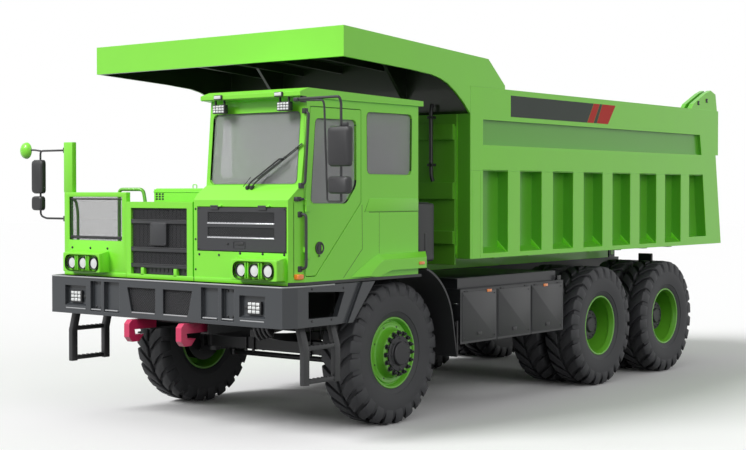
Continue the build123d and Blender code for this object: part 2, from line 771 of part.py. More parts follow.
with BuildPart() as cab_interior:
    for x in (800, 1350):
        block((x - 150, x + 150), (aft(-600), aft(-300)), (cab_floor + cab_wall, 1990))
        block((x - 250, x + 250), (aft(-780), aft(-230)), (1990, 2120))
        side_profile([(-300, 2120), (-180, 2120), (-60, 2820), (-170, 2820)], x - 240, x + 240)
        block((x - 120, x + 120), (aft(-150), aft(-60)), (2820, 3000))
    side_profile([(-1440, cab_floor + cab_wall), (-1440, 2460), (-1200, 2470), (-1120, 2350), (-1300, 2200),
                  (-1300, cab_floor + cab_wall)], cab_upper_right + cab_wall, 1560)

with BuildPart() as cab_door:
    side_profile(door_outline, cab_left - door_skin, cab_left, inset=panel_gap, corner=door_corner)
    side_profile(door_outline, cab_left - cab_wall, cab_left - door_skin, inset=panel_gap + door_rebate)
    side_profile(door_window, wall_in, wall_out, Mode.SUBTRACT, corner=window_corner)
    for height in hinge_heights:
        rod_z(hinge_x, hinge_station, height, height + 60, hinge_barrel_radius)
        block((cab_left - 10, hinge_x), (aft(hinge_station + 8), aft(door_front + 60)), (height, height + 60))
        rod_z(hinge_x, hinge_station, height, height + 120, hinge_pin_radius)
with BuildPart() as door_glass:
    side_profile(door_window, pane[0], pane[1], inset=pane_gap, corner=window_corner)

with BuildPart() as service_flap:
    skin = (cab_nose - 5, cab_nose - 5 + flap_skin)
    block((flap_xs[0] + panel_gap, flap_xs[1] - panel_gap), (aft(skin[0]), aft(skin[1])),
          (flap_zs[0] + panel_gap, flap_zs[1] - panel_gap))
    for low, high in flap_slots:
        side_profile([(skin[0] - 1, low), (skin[0] + flap_slot_depth, low + 22), (skin[0] + flap_slot_depth, high),
                      (skin[0] - 1, high)], flap_slot_xs[0], flap_slot_xs[1], Mode.SUBTRACT)
    for low, high in flap_barrels:
        strap_zs = (flap_hinge_height - 36, flap_hinge_height - 5)
        block((low, high), (aft(flap_hinge_station - 4), aft(skin[0])), strap_zs)
        rod_x(low, high, flap_hinge_station, flap_hinge_height, flap_barrel_radius)
        rod_x(low, high + 40, flap_hinge_station, flap_hinge_height, flap_pin_radius)

# Centre grille, fence panel and the electrical cabinet behind them
with BuildPart() as centre_grille:
    block(grille_xs, (aft(cab_nose), aft(cab_nose + grille_depth)), (deck_top, grille_top))
    block(grille_opening[0], (aft(cab_nose - 10), aft(cab_nose + 40)), grille_opening[1], Mode.SUBTRACT)
    for low, high in grille_bars:
        block(grille_opening[0], (aft(cab_nose + 8), aft(cab_nose + 40)), (low, high))
with BuildPart() as fence_panel:
    block(fence_xs, (aft(cab_nose), aft(cab_nose + fence_depth)), (deck_top, fence_top))
    block(fence_opening[0], (aft(cab_nose - 10), aft(cab_nose + fence_depth + 10)), fence_opening[1], Mode.SUBTRACT)
    for xs in ((-1290, -1250), (-1000, -960)):
        block(xs, (aft(cab_nose + 30), aft(cab_nose + fence_depth)), fence_opening[1])
    block(fence_opening[0], (aft(cab_nose + 30), aft(cab_nose + fence_depth)), (2120, 2150))
    block(fence_post_xs, (aft(cab_nose), aft(cab_nose + fence_depth)), (fence_top, fence_post_top))
with BuildPart() as power_cabinet:
    block(cabinet_xs, (aft(cabinet_front), aft(cabinet_rear)), (deck_top, cabinet_top))

with BuildPart() as battery_boxes:
    block(battery_xs, (aft(battery_front), aft(battery_rear)), (battery_low, battery_high))
    shelf = (battery_high, battery_high + battery_shelf)
    block((rail_outer, battery_xs[1] - 40), (aft(battery_front), aft(battery_rear - battery_shelf)), shelf)
    block((rail_outer, battery_xs[0]), (aft(battery_front + 110), aft(battery_rear - 260)),
          (frame_bottom + 50, battery_high))
    for share in (1 / 3, 2 / 3):
        seam = battery_front + (battery_rear - battery_front) * share
        block((battery_xs[1] - battery_groove, battery_xs[1] + 5), (aft(seam - 8), aft(seam + 8)),
              (battery_low - 5, battery_high - 20), Mode.SUBTRACT)
    mirror(about=Plane.YZ)

# Drive motor between the rails, with its drop case and the shafts to both axles
with BuildPart() as drive_motor:
    block((-motor_half, motor_half), (aft(motor_rear - motor_length), aft(motor_rear)), (motor_low, motor_high))
    for xs in both_sides((motor_half, rail_inner)):
        mount_ys = (aft(motor_rear - motor_length + 150), aft(motor_rear - motor_length + 250))
        block(xs, mount_ys, (frame_bottom + 100, frame_bottom + 250))
    block((-150, 150), (aft(motor_rear - 220), aft(motor_rear)), (axle_height - 110, motor_low))
    rod_y(0, motor_rear, rear_axle_stations[0] - pinion_reach, axle_height, shaft_radius)
    rod_y(0, rear_axle_stations[0] + pinion_reach, rear_axle_stations[1] - pinion_reach, axle_height, shaft_radius)

# Fenders that flare out from the cab's side over the front wheels
with BuildPart() as fenders:
    with BuildSketch(Plane.YZ.offset(cab_left + pane_gap)) as root:
        with BuildLine():
            Polyline([(aft(station), height) for station, height in fender_root], close=True)
        make_face()
    with BuildSketch(Plane.YZ.offset(fender_x)) as edge:
        with BuildLine():
            Polyline([(aft(station), height) for station, height in fender_edge], close=True)
        make_face()
    loft(sections=[root.sketch, edge.sketch], ruled=True)
    mirror(about=Plane.YZ)
    block((-cab_left - pane_gap, deck_right), (aft(-560), aft(deck_rear)), (deck_low, 1640))


def guard_arc(outward):
    """The mudguard's curve round the back of the front wheel, moved outwards by the given distance."""
    start = (aft(362 + outward), 1598 + outward)
    middle = (aft(672 + outward), 1386 + outward)
    end = (aft(841 + outward), 1037)
    return start, middle, end


with BuildPart() as mudguards:
    flap_low = 630
    inner_start, inner_middle, inner_end = guard_arc(0)
    outer_start, outer_middle, outer_end = guard_arc(guard_thickness)
    with BuildSketch(Plane.YZ.offset(guard_xs[0])):
        with BuildLine():
            ThreePointArc(inner_start, inner_middle, inner_end)
            Polyline(inner_end, (aft(920), flap_low), (aft(920 + guard_thickness), flap_low), outer_end)
            ThreePointArc(outer_end, outer_middle, outer_start)
            Line(outer_start, inner_start)
        make_face()
    extrude(amount=guard_xs[1] - guard_xs[0])
    block((rail_outer, guard_xs[0] + 50), (aft(835), aft(870)), (1060, 1100))
    mirror(about=Plane.YZ)

with BuildPart() as ladders:
    inner_face = ladder_outer - ladder_plate
    for low, high in ladder_posts:
        front_profile([(ladder_outer, ladder_low), (ladder_outer, ladder_bend),
                       (ladder_outer - ladder_lean, bumper_low), (inner_face - ladder_lean, bumper_low),
                       (inner_face, ladder_bend), (inner_face, ladder_low)], low, high)
    for z in ladder_steps:
        step_ys = (aft(ladder_posts[0][0]), aft(ladder_posts[1][1]))
        block((inner_face - ladder_step_depth, inner_face), step_ys, (z, z + 30))
    mirror(about=Plane.YZ)

with BuildPart() as tow_hooks:
    hook_root = frame_nose + 60
    hook_bed = frame_bottom + rail_web
    side_profile([(hook_nose, 1080), (hook_nose, 945), (hook_nose + 45, 895), (hook_nose + 135, 895),
                  (hook_nose + 200, 965), (hook_nose + 85, 970), (hook_nose + 75, hook_bed), (hook_root, hook_bed),
                  (hook_root, 1120), (hook_nose + 40, 1120)], hook_x - hook_half, hook_x + hook_half)
    mirror(about=Plane.YZ)

# Mirrors on arms from the roof's corner and from the fence's post
mirror_back = -1690
mirror_face = -1760
arm_stations = (-1740, -1710)
with BuildPart() as mirrors:
    front_profile(rectangle((2105, 2370), (2650, 3020)), mirror_face, mirror_back, corner=40)
    front_profile(rectangle((2105, 2360), (2400, 2560)), mirror_face, mirror_back, corner=40)
    front_profile(rectangle((-2140, -1950), (2400, 2770)), mirror_face, mirror_back, corner=40)
    front_profile(rectangle((-2140, -1960), (2215, 2372)), mirror_face, mirror_back, corner=40)
    rod_y(-2280, mirror_face, mirror_back, 2875, 90)
    arm_ys = (aft(arm_stations[0]), aft(arm_stations[1]))
    block((2220, 2250), arm_ys, (2540, 2670))
    block((2220, 2250), arm_ys, (3000, 3290))
    block((1705, 2250), arm_ys, (3260, 3290))
    block((cab_left - 5, 1705), (aft(arm_stations[0]), aft(-1600)), (3260, 3318))
    block((-2200, fence_post_xs[0]), (aft(-1700), aft(-1680)), (2860, 2880))
    block((-2060, -2040), (aft(-1700), aft(-1680)), (2360, 2870))

# Headlamp pods with an oval bezel on each
with BuildPart() as headlamp_pods:
    for xs in both_sides(pod_xs):
        side_profile([(cab_nose, pod_low), (cab_nose, 1835), (-1812, 1817), (pod_face, 1765), (pod_face, pod_low)],
                     xs[0], xs[1])
    for low, high in both_sides(bezel_xs):
        with BuildSketch(Plane.XZ.offset(-aft(pod_face - bezel_proud))) as bezel:
            with Locations(((low + high) / 2, headlamp_height)):
                SlotOverall(high - low, bezel_height)
                SlotOverall(high - low - 2 * bezel_rim, bezel_height - 2 * bezel_rim, mode=Mode.SUBTRACT)
        extrude(bezel.sketch, amount=-bezel_proud)

# Lamps: headlamps in the bezels, work lamps in the bumper and under the roof, and the tail lamps
bumper_lamp_xs = (1118, 1282)
bumper_lamp_zs = (1262, 1368)
roof_lamp_pairs = ((552, 709), (1404, 1556))
visor_lamp_pairs = ((588, 693), (1387, 1490))
with BuildPart() as lamps:
    for x in headlamp_xs:
        for side in (-1, 1):
            rod_y(side * x, pod_face - 12, pod_face, headlamp_height, headlamp_radius)
    for xs in both_sides(bumper_lamp_xs):
        block(xs, (aft(bumper_face + 15), aft(bumper_face + recess_depth)), bumper_lamp_zs)
    for xs in roof_lamp_pairs:
        block(xs, (aft(-1660), aft(-1600)), (3191, 3271))
        middle = (xs[0] + xs[1]) / 2
        block((middle - 15, middle + 15), (aft(-1640), aft(-1620)), (3271, 3320))
    for xs in visor_lamp_pairs:
        block(xs, (aft(-1685), aft(-1660)), (3326, 3364))
    for xs in both_sides((rail_outer, 960)):
        block(xs, (aft(frame_tail - 60), aft(frame_tail - 20)), (1390, 1440))
    for xs in both_sides((800, 1010)):
        block(xs, (aft(frame_tail - 20), aft(frame_tail + 40)), (1390, 1540))

# Bed tub: side walls with their rib fields, floor, bearers, long sills and pivot ears
wall_outline = [(bed_front, bed_bottom), (bed_front, bed_rail_top), (bed_flange_end, bed_rail_top),
                (bed_flange_end, bed_band_low + 5), (bed_tail_high, bed_band_low + 5), (tail_reach, bed_bottom)]
field_x = bed_half_width - rib_recess
field_outline = [(field_x, bed_panel_low + bed_ledge), (bed_half_width + 10, bed_panel_low - 4),
                 (bed_half_width + 10, bed_mid_rail_low), (field_x, bed_mid_rail_low)]
with BuildPart() as bed_body:
    side_profile(wall_outline, bed_wall_inner, bed_half_width)
    side_profile([(bed_front + front_post, bed_band_low), (bed_front + front_post, bed_rail_low),
                  (tail_reach - 696, bed_rail_low), (tail_reach - 641, bed_band_low)],
                 bed_half_width - band_recess, bed_half_width + 10, Mode.SUBTRACT)
    field_starts = [bed_front + front_post] + [first_rib + rib_width + i * rib_pitch for i in range(rib_count)]
    field_ends = [first_rib + i * rib_pitch for i in range(rib_count)]
    for start, end in zip(field_starts, field_ends):
        front_profile(field_outline, start, end, Mode.SUBTRACT)
    side_profile([(field_starts[-1], bed_panel_low + bed_ledge), (field_starts[-1], bed_mid_rail_low),
                  (tail_reach - 598, bed_mid_rail_low), (tail_reach - 486, bed_panel_low + bed_ledge)],
                 field_x, bed_half_width + 10, Mode.SUBTRACT)
    block((0, bed_wall_inner), (aft(bed_front), aft(bed_floor_end)), (bed_floor_low, bed_floor_top))
    block((rail_outer - sill_width, rail_outer), (aft(sill_front), aft(sill_end)),
          (frame_top + running_gap, bed_floor_low))
    for start in field_ends:
        bearer_ys = (aft(start), aft(start + bearer_width))
        block((rail_outer, bed_wall_inner), bearer_ys, (bed_floor_low - bearer_depth, bed_floor_low))
    side_profile([(pivot_station - 160, bed_floor_low), (pivot_station - 60, pivot_height - 40),
                  (pivot_station - 30, pivot_height - 60), (pivot_station + 30, pivot_height - 60),
                  (pivot_station + 60, pivot_height - 40), (pivot_station + 160, bed_floor_low)], 290, 350)
    rod_x(290, rail_outer + 5, pivot_station, pivot_height, pivot_radius)
    for low in (bed_wall_inner + 10, bed_wall_inner + 120):
        side_profile([(gate_hinge_station - 680, bed_rail_top), (gate_hinge_station - 600, bed_rail_top + 73),
                      (gate_hinge_station - 220, gate_hinge_height + 90),
                      (gate_hinge_station - 60, gate_hinge_height + 140),
                      (gate_hinge_station + 100, gate_hinge_height + 90), (gate_hinge_station + 150, bed_rail_top)],
                     low, low + gate_ear)
    gate_bore = gate_pin_radius + running_gap
    rod_x(bed_wall_inner, gate_ear_reach + 20, gate_hinge_station, gate_hinge_height, gate_bore, Mode.SUBTRACT)
    mirror(about=Plane.YZ)
    side_profile([(bed_front - 10, bed_floor_low - 10), (bed_front + recess_reach + recess_wall, bed_floor_low - 10),
                  (bed_front + recess_reach - 10, bed_floor_top + 10), (bed_front - 10, bed_floor_top + 10)],
                 -recess_half, recess_half, Mode.SUBTRACT)

# Headboard with its beams and a recess for the hoist
with BuildPart() as headboard:
    board_back = bed_front + headboard_thickness
    block((-bed_wall_inner, bed_wall_inner), (aft(bed_front), aft(board_back)), (bed_floor_top, bed_rail_top))
    recess_high = hoist_top_height - 120
    recess_end = bed_front + recess_reach
    side_profile([(board_back, bed_floor_top), (recess_end + recess_wall, bed_floor_top),
                  (board_back, recess_high + recess_wall)], -recess_half - recess_side, recess_half + recess_side)
    side_profile([(bed_front - 10, bed_floor_top - 10), (recess_end, bed_floor_top - 10), (bed_front, recess_high),
                  (bed_front - 10, recess_high)], -recess_half, recess_half, Mode.SUBTRACT)
    for xs in both_sides((recess_half + recess_side, bed_wall_inner - 10)):
        block(xs, (aft(bed_front - 20), aft(bed_front)), (headboard_low, bed_rail_low - 80))
        for zs in headboard_beams:
            block(xs, (aft(bed_front - headboard_beam_depth), aft(bed_front - 20)), zs)

# Ears on the headboard that carry the hoist's top pin
with BuildPart() as hoist_bracket:
    for xs in both_sides((hoist_ear_gap / 2, hoist_ear_gap / 2 + hoist_ear)):
        side_profile([(bed_front, hoist_top_height - 75), (hoist_top_station + 20, hoist_top_height - 60),
                      (hoist_top_station - 60, hoist_top_height - 50), (hoist_top_station - 60, hoist_top_height + 50),
                      (hoist_top_station + 40, hoist_top_height + 75), (bed_front, hoist_top_height + 105)],
                     xs[0], xs[1])
    ear_reach = hoist_ear_gap / 2 + hoist_ear
    rod_x(-ear_reach, ear_reach, hoist_top_station, hoist_top_height, hoist_top_pin_radius)

# Canopy: an open-bottomed box that runs forward over the cab, stiffened under its plate
with BuildPart() as canopy:
    rear_low, rear_back = canopy_rear_wall
    side_profile([(canopy_front, canopy_front_low), (-46, 3674), (342, 3644), (493, 3614), (634, 3566), (775, 3489),
                  (920, 3387), (rear_back, 3269), (rear_back, bed_rail_top), (1741, bed_rail_top), (1741, 3607),
                  (1406, 3882), (canopy_front, canopy_front_high)], -bed_half_width, bed_half_width)
    inner_x = bed_half_width - canopy_plate
    plate_low = canopy_front_high - canopy_plate
    side_profile([(canopy_front + canopy_plate, 3000), (canopy_front + canopy_plate, plate_low),
                  (rear_low, canopy_rear_high), (rear_low, 3000)], -inner_x, inner_x, Mode.SUBTRACT)
    side_profile([(1090, 3500), (1090, 3868), (1396, 3850), (1711, 3592), (1711, 3500)], -inner_x, inner_x,
                 Mode.SUBTRACT)
    for x in stiffener_xs:
        side_profile([(canopy_front + canopy_plate, plate_low + 5),
                      (canopy_front + canopy_plate, plate_low - stiffener_depth),
                      (rear_low, canopy_rear_high - stiffener_depth), (rear_low, canopy_rear_high + 5)],
                     x - stiffener_width / 2, x + stiffener_width / 2)
    for xs in both_sides((brace_x, brace_x + 40)):
        side_profile([(rear_low, 3400), (rear_low + 10, canopy_rear_high + 5), (560, canopy_rear_high + 25)],
                     xs[0], xs[1])


def gate_face(height):
    return gate_face_low - gate_rake * (height - gate_low)


# Tailgate between the side walls, hung from their top corners, with pockets between its beams
with BuildPart() as tailgate:
    half = bed_wall_inner - gate_clearance
    back_low = gate_face(gate_low) + gate_thickness
    back_high = gate_face(gate_high) + gate_thickness
    side_profile([(gate_face(gate_low), gate_low), (gate_face(gate_high), gate_high), (back_high, gate_high),
                  (back_low, gate_low)], -half, half)
    for low, high in gate_pocket_rows:
        for xs in gate_pocket_columns:
            floor_low = gate_face(low) + gate_thickness - gate_pocket_depth
            floor_high = gate_face(high) + gate_thickness - gate_pocket_depth
            side_profile([(floor_low, low), (floor_low + 100, low), (floor_high + 100, high), (floor_high, high)],
                         xs[0], xs[1], Mode.SUBTRACT)
    for side in (-1, 1):
        low, high = sorted((side * (half - gate_ear), side * half))
        side_profile([(gate_face(gate_high), gate_high), (gate_hinge_station - 50, gate_hinge_height + 10),
                      (gate_hinge_station, gate_hinge_height + 50), (gate_hinge_station + 50, gate_hinge_height + 10),
                      (back_high, gate_high)], low, high)
        pin = sorted((side * half, side * gate_ear_reach))
        rod_x(pin[0], pin[1], gate_hinge_station, gate_hinge_height, gate_pin_radius)

# Hoist: a tilting barrel with three telescoping stages
hoist_run = hoist_top_station - hoist_base_station
hoist_rise = hoist_top_height - hoist_base_height
hoist_length = hypot(hoist_run, hoist_rise)
hoist_tube_end = hoist_length - hoist_tube_top_room
hoist_along = (0, hoist_run / hoist_length, hoist_rise / hoist_length)
hoist_plane = Plane(origin=(0, aft(hoist_base_station), hoist_base_height), x_dir=(1, 0, 0), z_dir=hoist_along)


def hoist_tube(start, end, outer, inner):
    """A tube along the hoist's axis, solid where inner is zero."""
    with BuildSketch(hoist_plane.offset(start)) as outline:
        Circle(outer)
        if inner:
            Circle(inner, mode=Mode.SUBTRACT)
    extrude(outline.sketch, amount=end - start)


with BuildPart() as hoist_barrel:
    hoist_tube(hoist_tube_start, hoist_tube_start + 20, hoist_outer_radius, 0)
    hoist_tube(hoist_tube_start, hoist_tube_end, hoist_outer_radius, hoist_outer_radius - hoist_wall)
    foot_half = hoist_lug_gap / 2 - 10
    rod_x(-foot_half, foot_half, hoist_base_station, hoist_base_height, hoist_foot_radius)
    hoist_tube(0, hoist_tube_start, 50, 0)
    foot_bore = hoist_pin_radius + running_gap
    rod_x(-foot_half - 5, foot_half + 5, hoist_base_station, hoist_base_height, foot_bore, Mode.SUBTRACT)

stages = []
for index in (1, 2, 3):
    outer_radius = hoist_outer_radius - hoist_wall - 1 - (index - 1) * hoist_step
    with BuildPart() as stage:
        start = hoist_tube_start + 20 + 10 * index
        end = hoist_tube_end + 20 * index
        if index < 3:
            hoist_tube(start, end, outer_radius, outer_radius - hoist_step + 1)
            hoist_tube(start, start + 8, outer_radius, 0)
        else:
            hoist_tube(start, end, outer_radius, 0)
    stages.append(stage)

eye_inner = hoist_top_pin_radius + hoist_eye_room
eye_outer = eye_inner + hoist_eye_wall
with BuildPart() as hoist_rod_eye:
    hoist_tube(hoist_tube_end + 60, hoist_length - eye_inner - hoist_eye_wall / 2, 60, 0)
    eye_origin = (-hoist_eye_thickness / 2, aft(hoist_top_station), hoist_top_height)
    with BuildSketch(Plane(origin=eye_origin, x_dir=hoist_along, z_dir=(1, 0, 0))):
        with Locations((hoist_eye_slot / 2, 0)):
            SlotOverall(hoist_eye_slot + 2 * eye_outer, 2 * eye_outer)
            SlotOverall(hoist_eye_slot + 2 * eye_inner, 2 * eye_inner, mode=Mode.SUBTRACT)
    extrude(amount=hoist_eye_thickness)

# Every node and the sub-part it holds
nodes = {
    "frame": frame,
    "crossmembers": crossmembers,
    "hoist_beam": hoist_beam,
    "front_axle": front_axle,
    "rear_axles": rear_axles,
    "suspension": suspension,
    "bumper": bumper,
    "deck": deck,
    "cab_shell": cab_shell,
    "cab_roof": cab_roof,
    "cab_glass": cab_glass,
    "cab_interior": cab_interior,
    "centre_grille": centre_grille,
    "fence_panel": fence_panel,
    "power_cabinet": power_cabinet,
    "battery_boxes": battery_boxes,
    "drive_motor": drive_motor,
    "fenders": fenders,
    "mudguards": mudguards,
    "ladders": ladders,
    "tow_hooks": tow_hooks,
    "mirrors": mirrors,
    "headlamp_pods": headlamp_pods,
    "lamps": lamps,
    "knuckle_left": knuckle_left,
    "knuckle_right": knuckle_right,
    "tie_rod": tie_rod,
    "front_tyre_left": front_tyre_left,
    "front_rim_left": front_rim_left,
    "front_tyre_right": front_tyre_right,
    "front_rim_right": front_rim_right,
    "bed_body": bed_body,
    "headboard": headboard,
    "hoist_bracket": hoist_bracket,
    "canopy": canopy,
    "tailgate": tailgate,
    "hoist_barrel": hoist_barrel,
    "hoist_stage_1": stages[0],
    "hoist_stage_2": stages[1],
    "hoist_stage_3": stages[2],
    "hoist_rod_eye": hoist_rod_eye,
    "cab_door": cab_door,
    "door_glass": door_glass,
    "service_flap": service_flap,
}
nodes.update(rear_wheels)

os.makedirs("parts", exist_ok=True)
for name, piece in nodes.items():
    piece.part.label = name
    export_step(piece.part, f"parts/{name}.step")
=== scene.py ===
from math import cos, pi, radians, sin

import bmesh
import bpy
from mathutils import Matrix, Vector


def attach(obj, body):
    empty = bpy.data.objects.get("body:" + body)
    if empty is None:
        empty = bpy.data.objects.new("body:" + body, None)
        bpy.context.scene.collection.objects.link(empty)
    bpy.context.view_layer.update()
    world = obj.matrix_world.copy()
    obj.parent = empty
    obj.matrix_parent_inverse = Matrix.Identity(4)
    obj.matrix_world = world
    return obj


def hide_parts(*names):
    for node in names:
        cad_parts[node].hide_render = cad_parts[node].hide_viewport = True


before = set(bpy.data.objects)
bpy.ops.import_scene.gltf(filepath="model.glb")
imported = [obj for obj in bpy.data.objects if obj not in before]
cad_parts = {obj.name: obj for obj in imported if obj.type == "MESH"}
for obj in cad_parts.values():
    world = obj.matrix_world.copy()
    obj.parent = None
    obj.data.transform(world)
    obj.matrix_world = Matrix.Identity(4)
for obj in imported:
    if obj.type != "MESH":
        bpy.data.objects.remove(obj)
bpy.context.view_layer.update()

# A wide-body mining dump truck. Everything is in metres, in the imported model's frame:
# the nose faces -Y, the left side is +X and the ground is Z = 0.
# A station is a distance behind the front axle.
FRONT_AXLE_Y = -2.729
WHEELBASE = 4.061
TANDEM = 1.773
TYRE_R = 0.745
TYRE_W = 0.43
FRONT_WHEEL_X = 1.365
REAR_OUTER_X = 1.532
DUAL_SPACING = 0.49
REAR_PAIR_X = REAR_OUTER_X - DUAL_SPACING / 2
DRIVEN_AXLES = {"middle": WHEELBASE, "rear": WHEELBASE + TANDEM}
SIDES = {"left": 1, "right": -1}

# Faces that trim sits on: the stations of those that face forwards, and the X of the sides
NOSE = -1.720
BUMPER_FACE = -1.861
POD_FACE = -1.850
BUMPER_SIDE = 1.7055
CAB_SIDE = 1.680
BED_SIDE = 1.7835
BOX_SIDE = 1.7045
RAIL_SIDE = 0.4755

ACROSS = Vector((1, 0, 0))
AFT = Vector((0, 1, 0))
UP = Vector((0, 0, 1))
FORWARD = Vector((0, -1, 0))


def aft(station):
    """The Y of a station."""
    return FRONT_AXLE_Y + station


def at(x, station, z):
    """A place from its X, its station and its height."""
    return Vector((x, aft(station), z))


def upright(xs, zs, station):
    """The corners of an upright rectangle that faces forwards."""
    corners = ((xs[0], zs[0]), (xs[1], zs[0]), (xs[1], zs[1]), (xs[0], zs[1]))
    return [at(x, station, z) for x, z in corners]


def on_side(points, x):
    """An outline of (station, height) points on a face that looks sideways."""
    return [at(x, station, z) for station, z in points]


def round_axle(centre, reach, radius, angle):
    """A place beside an axle along X: reach along it and radius away from it."""
    return centre + Vector((reach, radius * cos(angle), radius * sin(angle)))


# Mesh helpers
def made_piece(name, shape, body, material, crease):
    """Turns a bmesh into a shown piece that rides on a body and takes its finish from a slot."""
    bmesh.ops.remove_doubles(shape, verts=shape.verts, dist=1e-5)
    bmesh.ops.recalc_face_normals(shape, faces=shape.faces)
    mesh = bpy.data.meshes.new(name)
    shape.to_mesh(mesh)
    shape.free()
    mesh.shade_smooth()
    mesh.set_sharp_from_angle(angle=radians(crease))
    mesh.materials.append(material)
    piece = bpy.data.objects.new(name, mesh)
    bpy.context.scene.collection.objects.link(piece)
    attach(piece, body)
    return piece


def edges_of(verts):
    """The edges at some vertices, each once and always in the same order."""
    return list(dict.fromkeys(edge for vert in verts for edge in vert.link_edges))


def sharp_edges(verts, angle=60):
    """The edges where two faces meet at more than an angle in degrees."""
    return [edge for edge in edges_of(verts) if edge.calc_face_angle(0) > radians(angle)]


def verts_in(items):
    return [item for item in items if isinstance(item, bmesh.types.BMVert)]


def everything_in(shape):
    return shape.verts[:] + shape.edges[:] + shape.faces[:]


def pushed(shape, faces, push):
    """Extrudes faces, moves what was made and returns its vertices."""
    made = bmesh.ops.extrude_face_region(shape, geom=faces)
    moved = verts_in(made["geom"])
    bmesh.ops.translate(shape, vec=push, verts=moved)
    return moved


def rounded(shape, edges, width, segments=2):
    bmesh.ops.bevel(shape, geom=edges, offset=width, offset_type="OFFSET", segments=segments,
                    profile=0.5, affect="EDGES", material=-1, clamp_overlap=True)


def add_box(shape, low, high, edge=0.0, segments=2):
    """A box between two corners, with its edges rounded where a width is given."""
    low, high = Vector(low), Vector(high)
    size = high - low
    place = Matrix.Translation((low + high) / 2) @ Matrix.Diagonal((size.x, size.y, size.z, 1))
    made = bmesh.ops.create_cube(shape, size=1, matrix=place)
    if edge:
        rounded(shape, edges_of(made["verts"]), edge, segments)


def add_rod(shape, start, end, radius, sides, end_radius=None, edge=0.0):
    """A round bar or a cone from one point to another."""
    start, end = Vector(start), Vector(end)
    along = end - start
    turn = along.to_track_quat("Z", "Y").to_matrix().to_4x4()
    made = bmesh.ops.create_cone(
        shape, cap_ends=True, segments=sides, radius1=radius,
        radius2=radius if end_radius is None else end_radius,
        depth=along.length, matrix=Matrix.Translation((start + end) / 2) @ turn)
    if edge:
        rims = [e for e in edges_of(made["verts"]) if any(len(f.verts) > 4 for f in e.link_faces)]
        rounded(shape, rims, edge)


def add_plate(shape, outline, push, edge=0.0, segments=2):
    """A flat plate: an outline of points pushed through its thickness."""
    face = shape.faces.new([shape.verts.new(point) for point in outline])
    moved = pushed(shape, [face], push)
    if edge:
        rounded(shape, edges_of(moved + list(face.verts)), edge, segments)


def add_lathe(shape, profile, centre, steps):
    """Spins a closed outline of (x, radius) points about an axle along X."""
    verts = [shape.verts.new((centre.x + x, centre.y, centre.z + r)) for x, r in profile]
    edges = [shape.edges.new((a, b)) for a, b in zip(verts, verts[1:] + verts[:1])]
    bmesh.ops.spin(shape, geom=verts + edges, cent=centre, axis=(1, 0, 0), dvec=(0, 0, 0),
                   angle=2 * pi, steps=steps, use_merge=True, use_duplicate=False)


BEND_STEPS = 5


def corner_arc(before, corner, after, reach, steps):
    """A short arc in place of a corner; it starts and ends at reach from the corner."""
    start = corner + (before - corner).normalized() * reach
    end = corner + (after - corner).normalized() * reach
    shares = [step / steps for step in range(steps + 1)]
    return [start * (1 - t) ** 2 + corner * 2 * t * (1 - t) + end * t ** 2 for t in shares]


def bend_points(points, bend):
    """The route of a bent pipe: each corner is replaced by a short arc."""
    points = [Vector(point) for point in points]
    route = points[:1]
    for before, corner, after in zip(points, points[1:], points[2:]):
        reach = min(bend, (before - corner).length / 2, (after - corner).length / 2)
        route += corner_arc(before, corner, after, reach, BEND_STEPS)
    return route + points[-1:]


def add_pipe(shape, points, radius, bend, sides):
    """A bent pipe: a ring carried along its route, and closed at both ends."""
    route = bend_points(points, bend)
    heading = (route[1] - route[0]).normalized()
    place = Matrix.Translation(route[0]) @ heading.to_track_quat("Z", "Y").to_matrix().to_4x4()
    ring = bmesh.ops.create_circle(
        shape, cap_ends=False, segments=sides, radius=radius, matrix=place)["verts"]
    shape.faces.new(ring)
    for index, point in enumerate(route[1:], 1):
        last = index == len(route) - 1
        ahead = heading if last else (route[index + 1] - point).normalized()
        mean = ahead if last else ((point - route[index - 1]).normalized() + ahead).normalized()
        ring_edges = [e for e in edges_of(ring) if all(v in ring for v in e.verts)]
        made = bmesh.ops.extrude_edge_only(shape, edges=ring_edges)
        ring = verts_in(made["geom"])
        bmesh.ops.translate(shape, vec=point - route[index - 1], verts=ring)
        turn = heading.rotation_difference(mean).to_matrix()
        bmesh.ops.rotate(shape, cent=point, matrix=turn, verts=ring)
        heading = mean
    bmesh.ops.holes_fill(shape, edges=[e for e in edges_of(ring) if e.is_boundary], sides=0)


def copies_round(shape, geom, centre, count):
    """Repeats what is given round an axle along X, count times in all."""
    for index in range(1, count):
        made = bmesh.ops.duplicate(shape, geom=geom)
        turn = Matrix.Rotation(2 * pi * index / count, 3, "X")
        bmesh.ops.rotate(shape, cent=centre, matrix=turn, verts=verts_in(made["geom"]))


def join_into(shape, part):
    """Moves one bmesh into another."""
    holder = bpy.data.meshes.new("part")
    part.to_mesh(holder)
    part.free()
    shape.from_mesh(holder)
    bpy.data.meshes.remove(holder)


def round_corners(outline, radius, steps=4):
    """A closed outline with each corner replaced by a short arc."""
    points = [Vector(point) for point in outline]
    smooth = []
    for index, corner in enumerate(points):
        before, after = points[index - 1], points[(index + 1) % len(points)]
        reach = min(radius, (before - corner).length * 0.45, (after - corner).length * 0.45)
        smooth += corner_arc(before, corner, after, reach, steps)
    return smooth


def add_frame(shape, outline, width, push, edge=0.0):
    """A flat ring that follows an outline, width wide inwards, pushed through its thickness."""
    face = shape.faces.new([shape.verts.new(point) for point in outline])
    ring = bmesh.ops.inset_region(
        shape, faces=[face], thickness=width, use_boundary=True, use_even_offset=True)
    bmesh.ops.delete(shape, geom=[face], context="FACES_ONLY")
    moved = pushed(shape, ring["faces"], push)
    if edge:
        rounded(shape, sharp_edges(moved), edge, 1)


